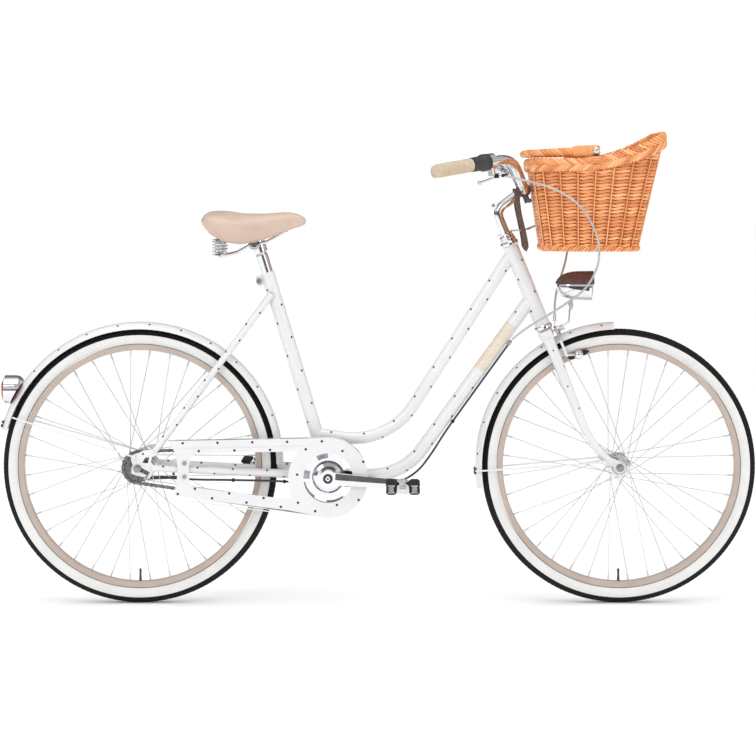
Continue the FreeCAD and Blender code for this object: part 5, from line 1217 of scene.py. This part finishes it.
def caliper_shoe(name, side, body):
    """The rubber boot over a brake pad's holder, with the domed nut that holds it."""
    piece = Piece(name, body, PAD, CHROME)
    radial, tangent = wheel_directions(109.9)
    out = LEFT * side
    middle = FRONT_AXLE + radial * 278.5 + out * 20.4
    rings = []
    for i in range(25):
        share = 2 * i / 24 - 1
        tall = 6.2 * (1 - abs(share) ** 5) ** 0.5 + 0.3
        deep = 2.9 * (1 - abs(share) ** 6) ** 0.5 + 0.2
        tall *= 0.86 if i % 3 == 1 else 1.0
        rings.append(ring(middle - tangent * share * 26, radial * tall, out * deep, 16))
    piece.add(loft(rings))
    piece.add(turned([(9.5, 2), (11.4, 3), (11.4, 7), (10, 10.5), (6.6, 13.2), (2.6, 14.4), (0.1, 14.6)],
                     middle, out, 28), 1)
    piece.make()


caliper_shoe("brake_shoe_right", -1, "caliper_right_arm")
caliper_shoe("brake_shoe_left", 1, "caliper_left_arm")


def stay_screws(name, axle, angle, body):
    """The screw heads where a pair of stays meets the mudguard."""
    piece = Piece(name, body, BLACK)
    out, along = wheel_directions(angle)
    for side in (-1, 1):
        for step in (-4.5, 4.5):
            place = axle + out * (MUDGUARD_RADIUS - 1) + along * step + LEFT * side * 12
            piece.add(turned([(3.4, -2), (3.4, 2.2), (2.6, 3.6), (0.1, 4.0)], place, out, 12))
    piece.make()


stay_screws("front_stay_screws", FRONT_AXLE, 182, "steering")
stay_screws("rear_stay_screws", REAR_AXLE, 163, "frame")


# ---------------------------------------------------------------- floor, light and surroundings

floor = placed("floor", bpy.data.meshes.new("floor"))
floor.data.from_pydata([(-40, -14, 0), (40, -14, 0), (40, 60, 0), (-40, 60, 0)], [], [(0, 1, 2, 3)])
FLOOR = finish("pale_floor", (0.93, 0.93, 0.93), (0.95, 0.95, 0.95), (0.8, 0.9), scale=0.8,
               fixed={"Specular IOR Level": 0.0})
floor.data.materials.append(FLOOR)


def soft_light(name, place, target, power, width, height):
    """A large rectangular softbox aimed at a point."""
    data = bpy.data.lights.new(name, "AREA")
    data.shape = "RECTANGLE"
    data.size, data.size_y = width, height
    data.energy = power
    item = placed(name, data)
    item.location = place
    item.rotation_euler = (Vector(target) - Vector(place)).to_track_quat("-Z", "Y").to_euler()


soft_light("overhead", (0.2, -0.8, 4.2), (0, 0, 0.4), 40, 4.5, 3.0)
soft_light("key", (-2.6, -4.4, 3.0), (0, 0, 0.6), 34, 1.6, 2.4)
soft_light("fill", (3.6, -3.6, 1.8), (0, 0, 0.5), 14, 1.2, 2.4)


def studio():
    """Even white light all round; mirror-like surfaces see dark panels at the horizon and behind."""
    world = bpy.data.worlds.new("studio")
    bpy.context.scene.world = world
    world.use_nodes = True
    tree = world.node_tree
    panels = tree.nodes["Background"]
    panels.inputs["Strength"].default_value = 0.9
    plain = node(tree, "ShaderNodeBackground", {"Color": (1, 1, 1, 1), "Strength": 1.07})
    direction = node(tree, "ShaderNodeTexCoord")
    split = node(tree, "ShaderNodeSeparateXYZ")
    height = node(tree, "ShaderNodeMapRange", {"From Min": -1.0})
    bands = ((0.0, 0.8), (0.466, 0.75), (0.474, 0.12), (0.5, 0.08), (0.56, 0.2), (0.62, 0.95),
             (0.76, 0.45), (1.0, 0.95))
    levels = ramp(tree, [(position, (level, level, level)) for position, level in bands])
    behind = node(tree, "ShaderNodeMapRange", {"From Min": 0.1, "From Max": 0.75, "To Min": 1.0,
                                               "To Max": 0.3}, interpolation_type="SMOOTHSTEP")
    shade = node(tree, "ShaderNodeVectorMath", operation="SCALE")
    rays = node(tree, "ShaderNodeLightPath")
    choose = node(tree, "ShaderNodeMixShader")
    wired(tree, (direction, "Generated", split, "Vector"), (split, "Z", height, "Value"),
          (height, "Result", levels, "Fac"), (split, "Y", behind, "Value"), (levels, "Color", shade, 0),
          (behind, "Result", shade, "Scale"), (shade, "Vector", panels, "Color"),
          (rays, "Is Glossy Ray", choose, "Fac"), (plain, "Background", choose, 1),
          (panels, "Background", choose, 2), (choose, "Shader", tree.nodes["World Output"], "Surface"))


studio()
bpy.context.scene.view_settings.view_transform = "Standard"
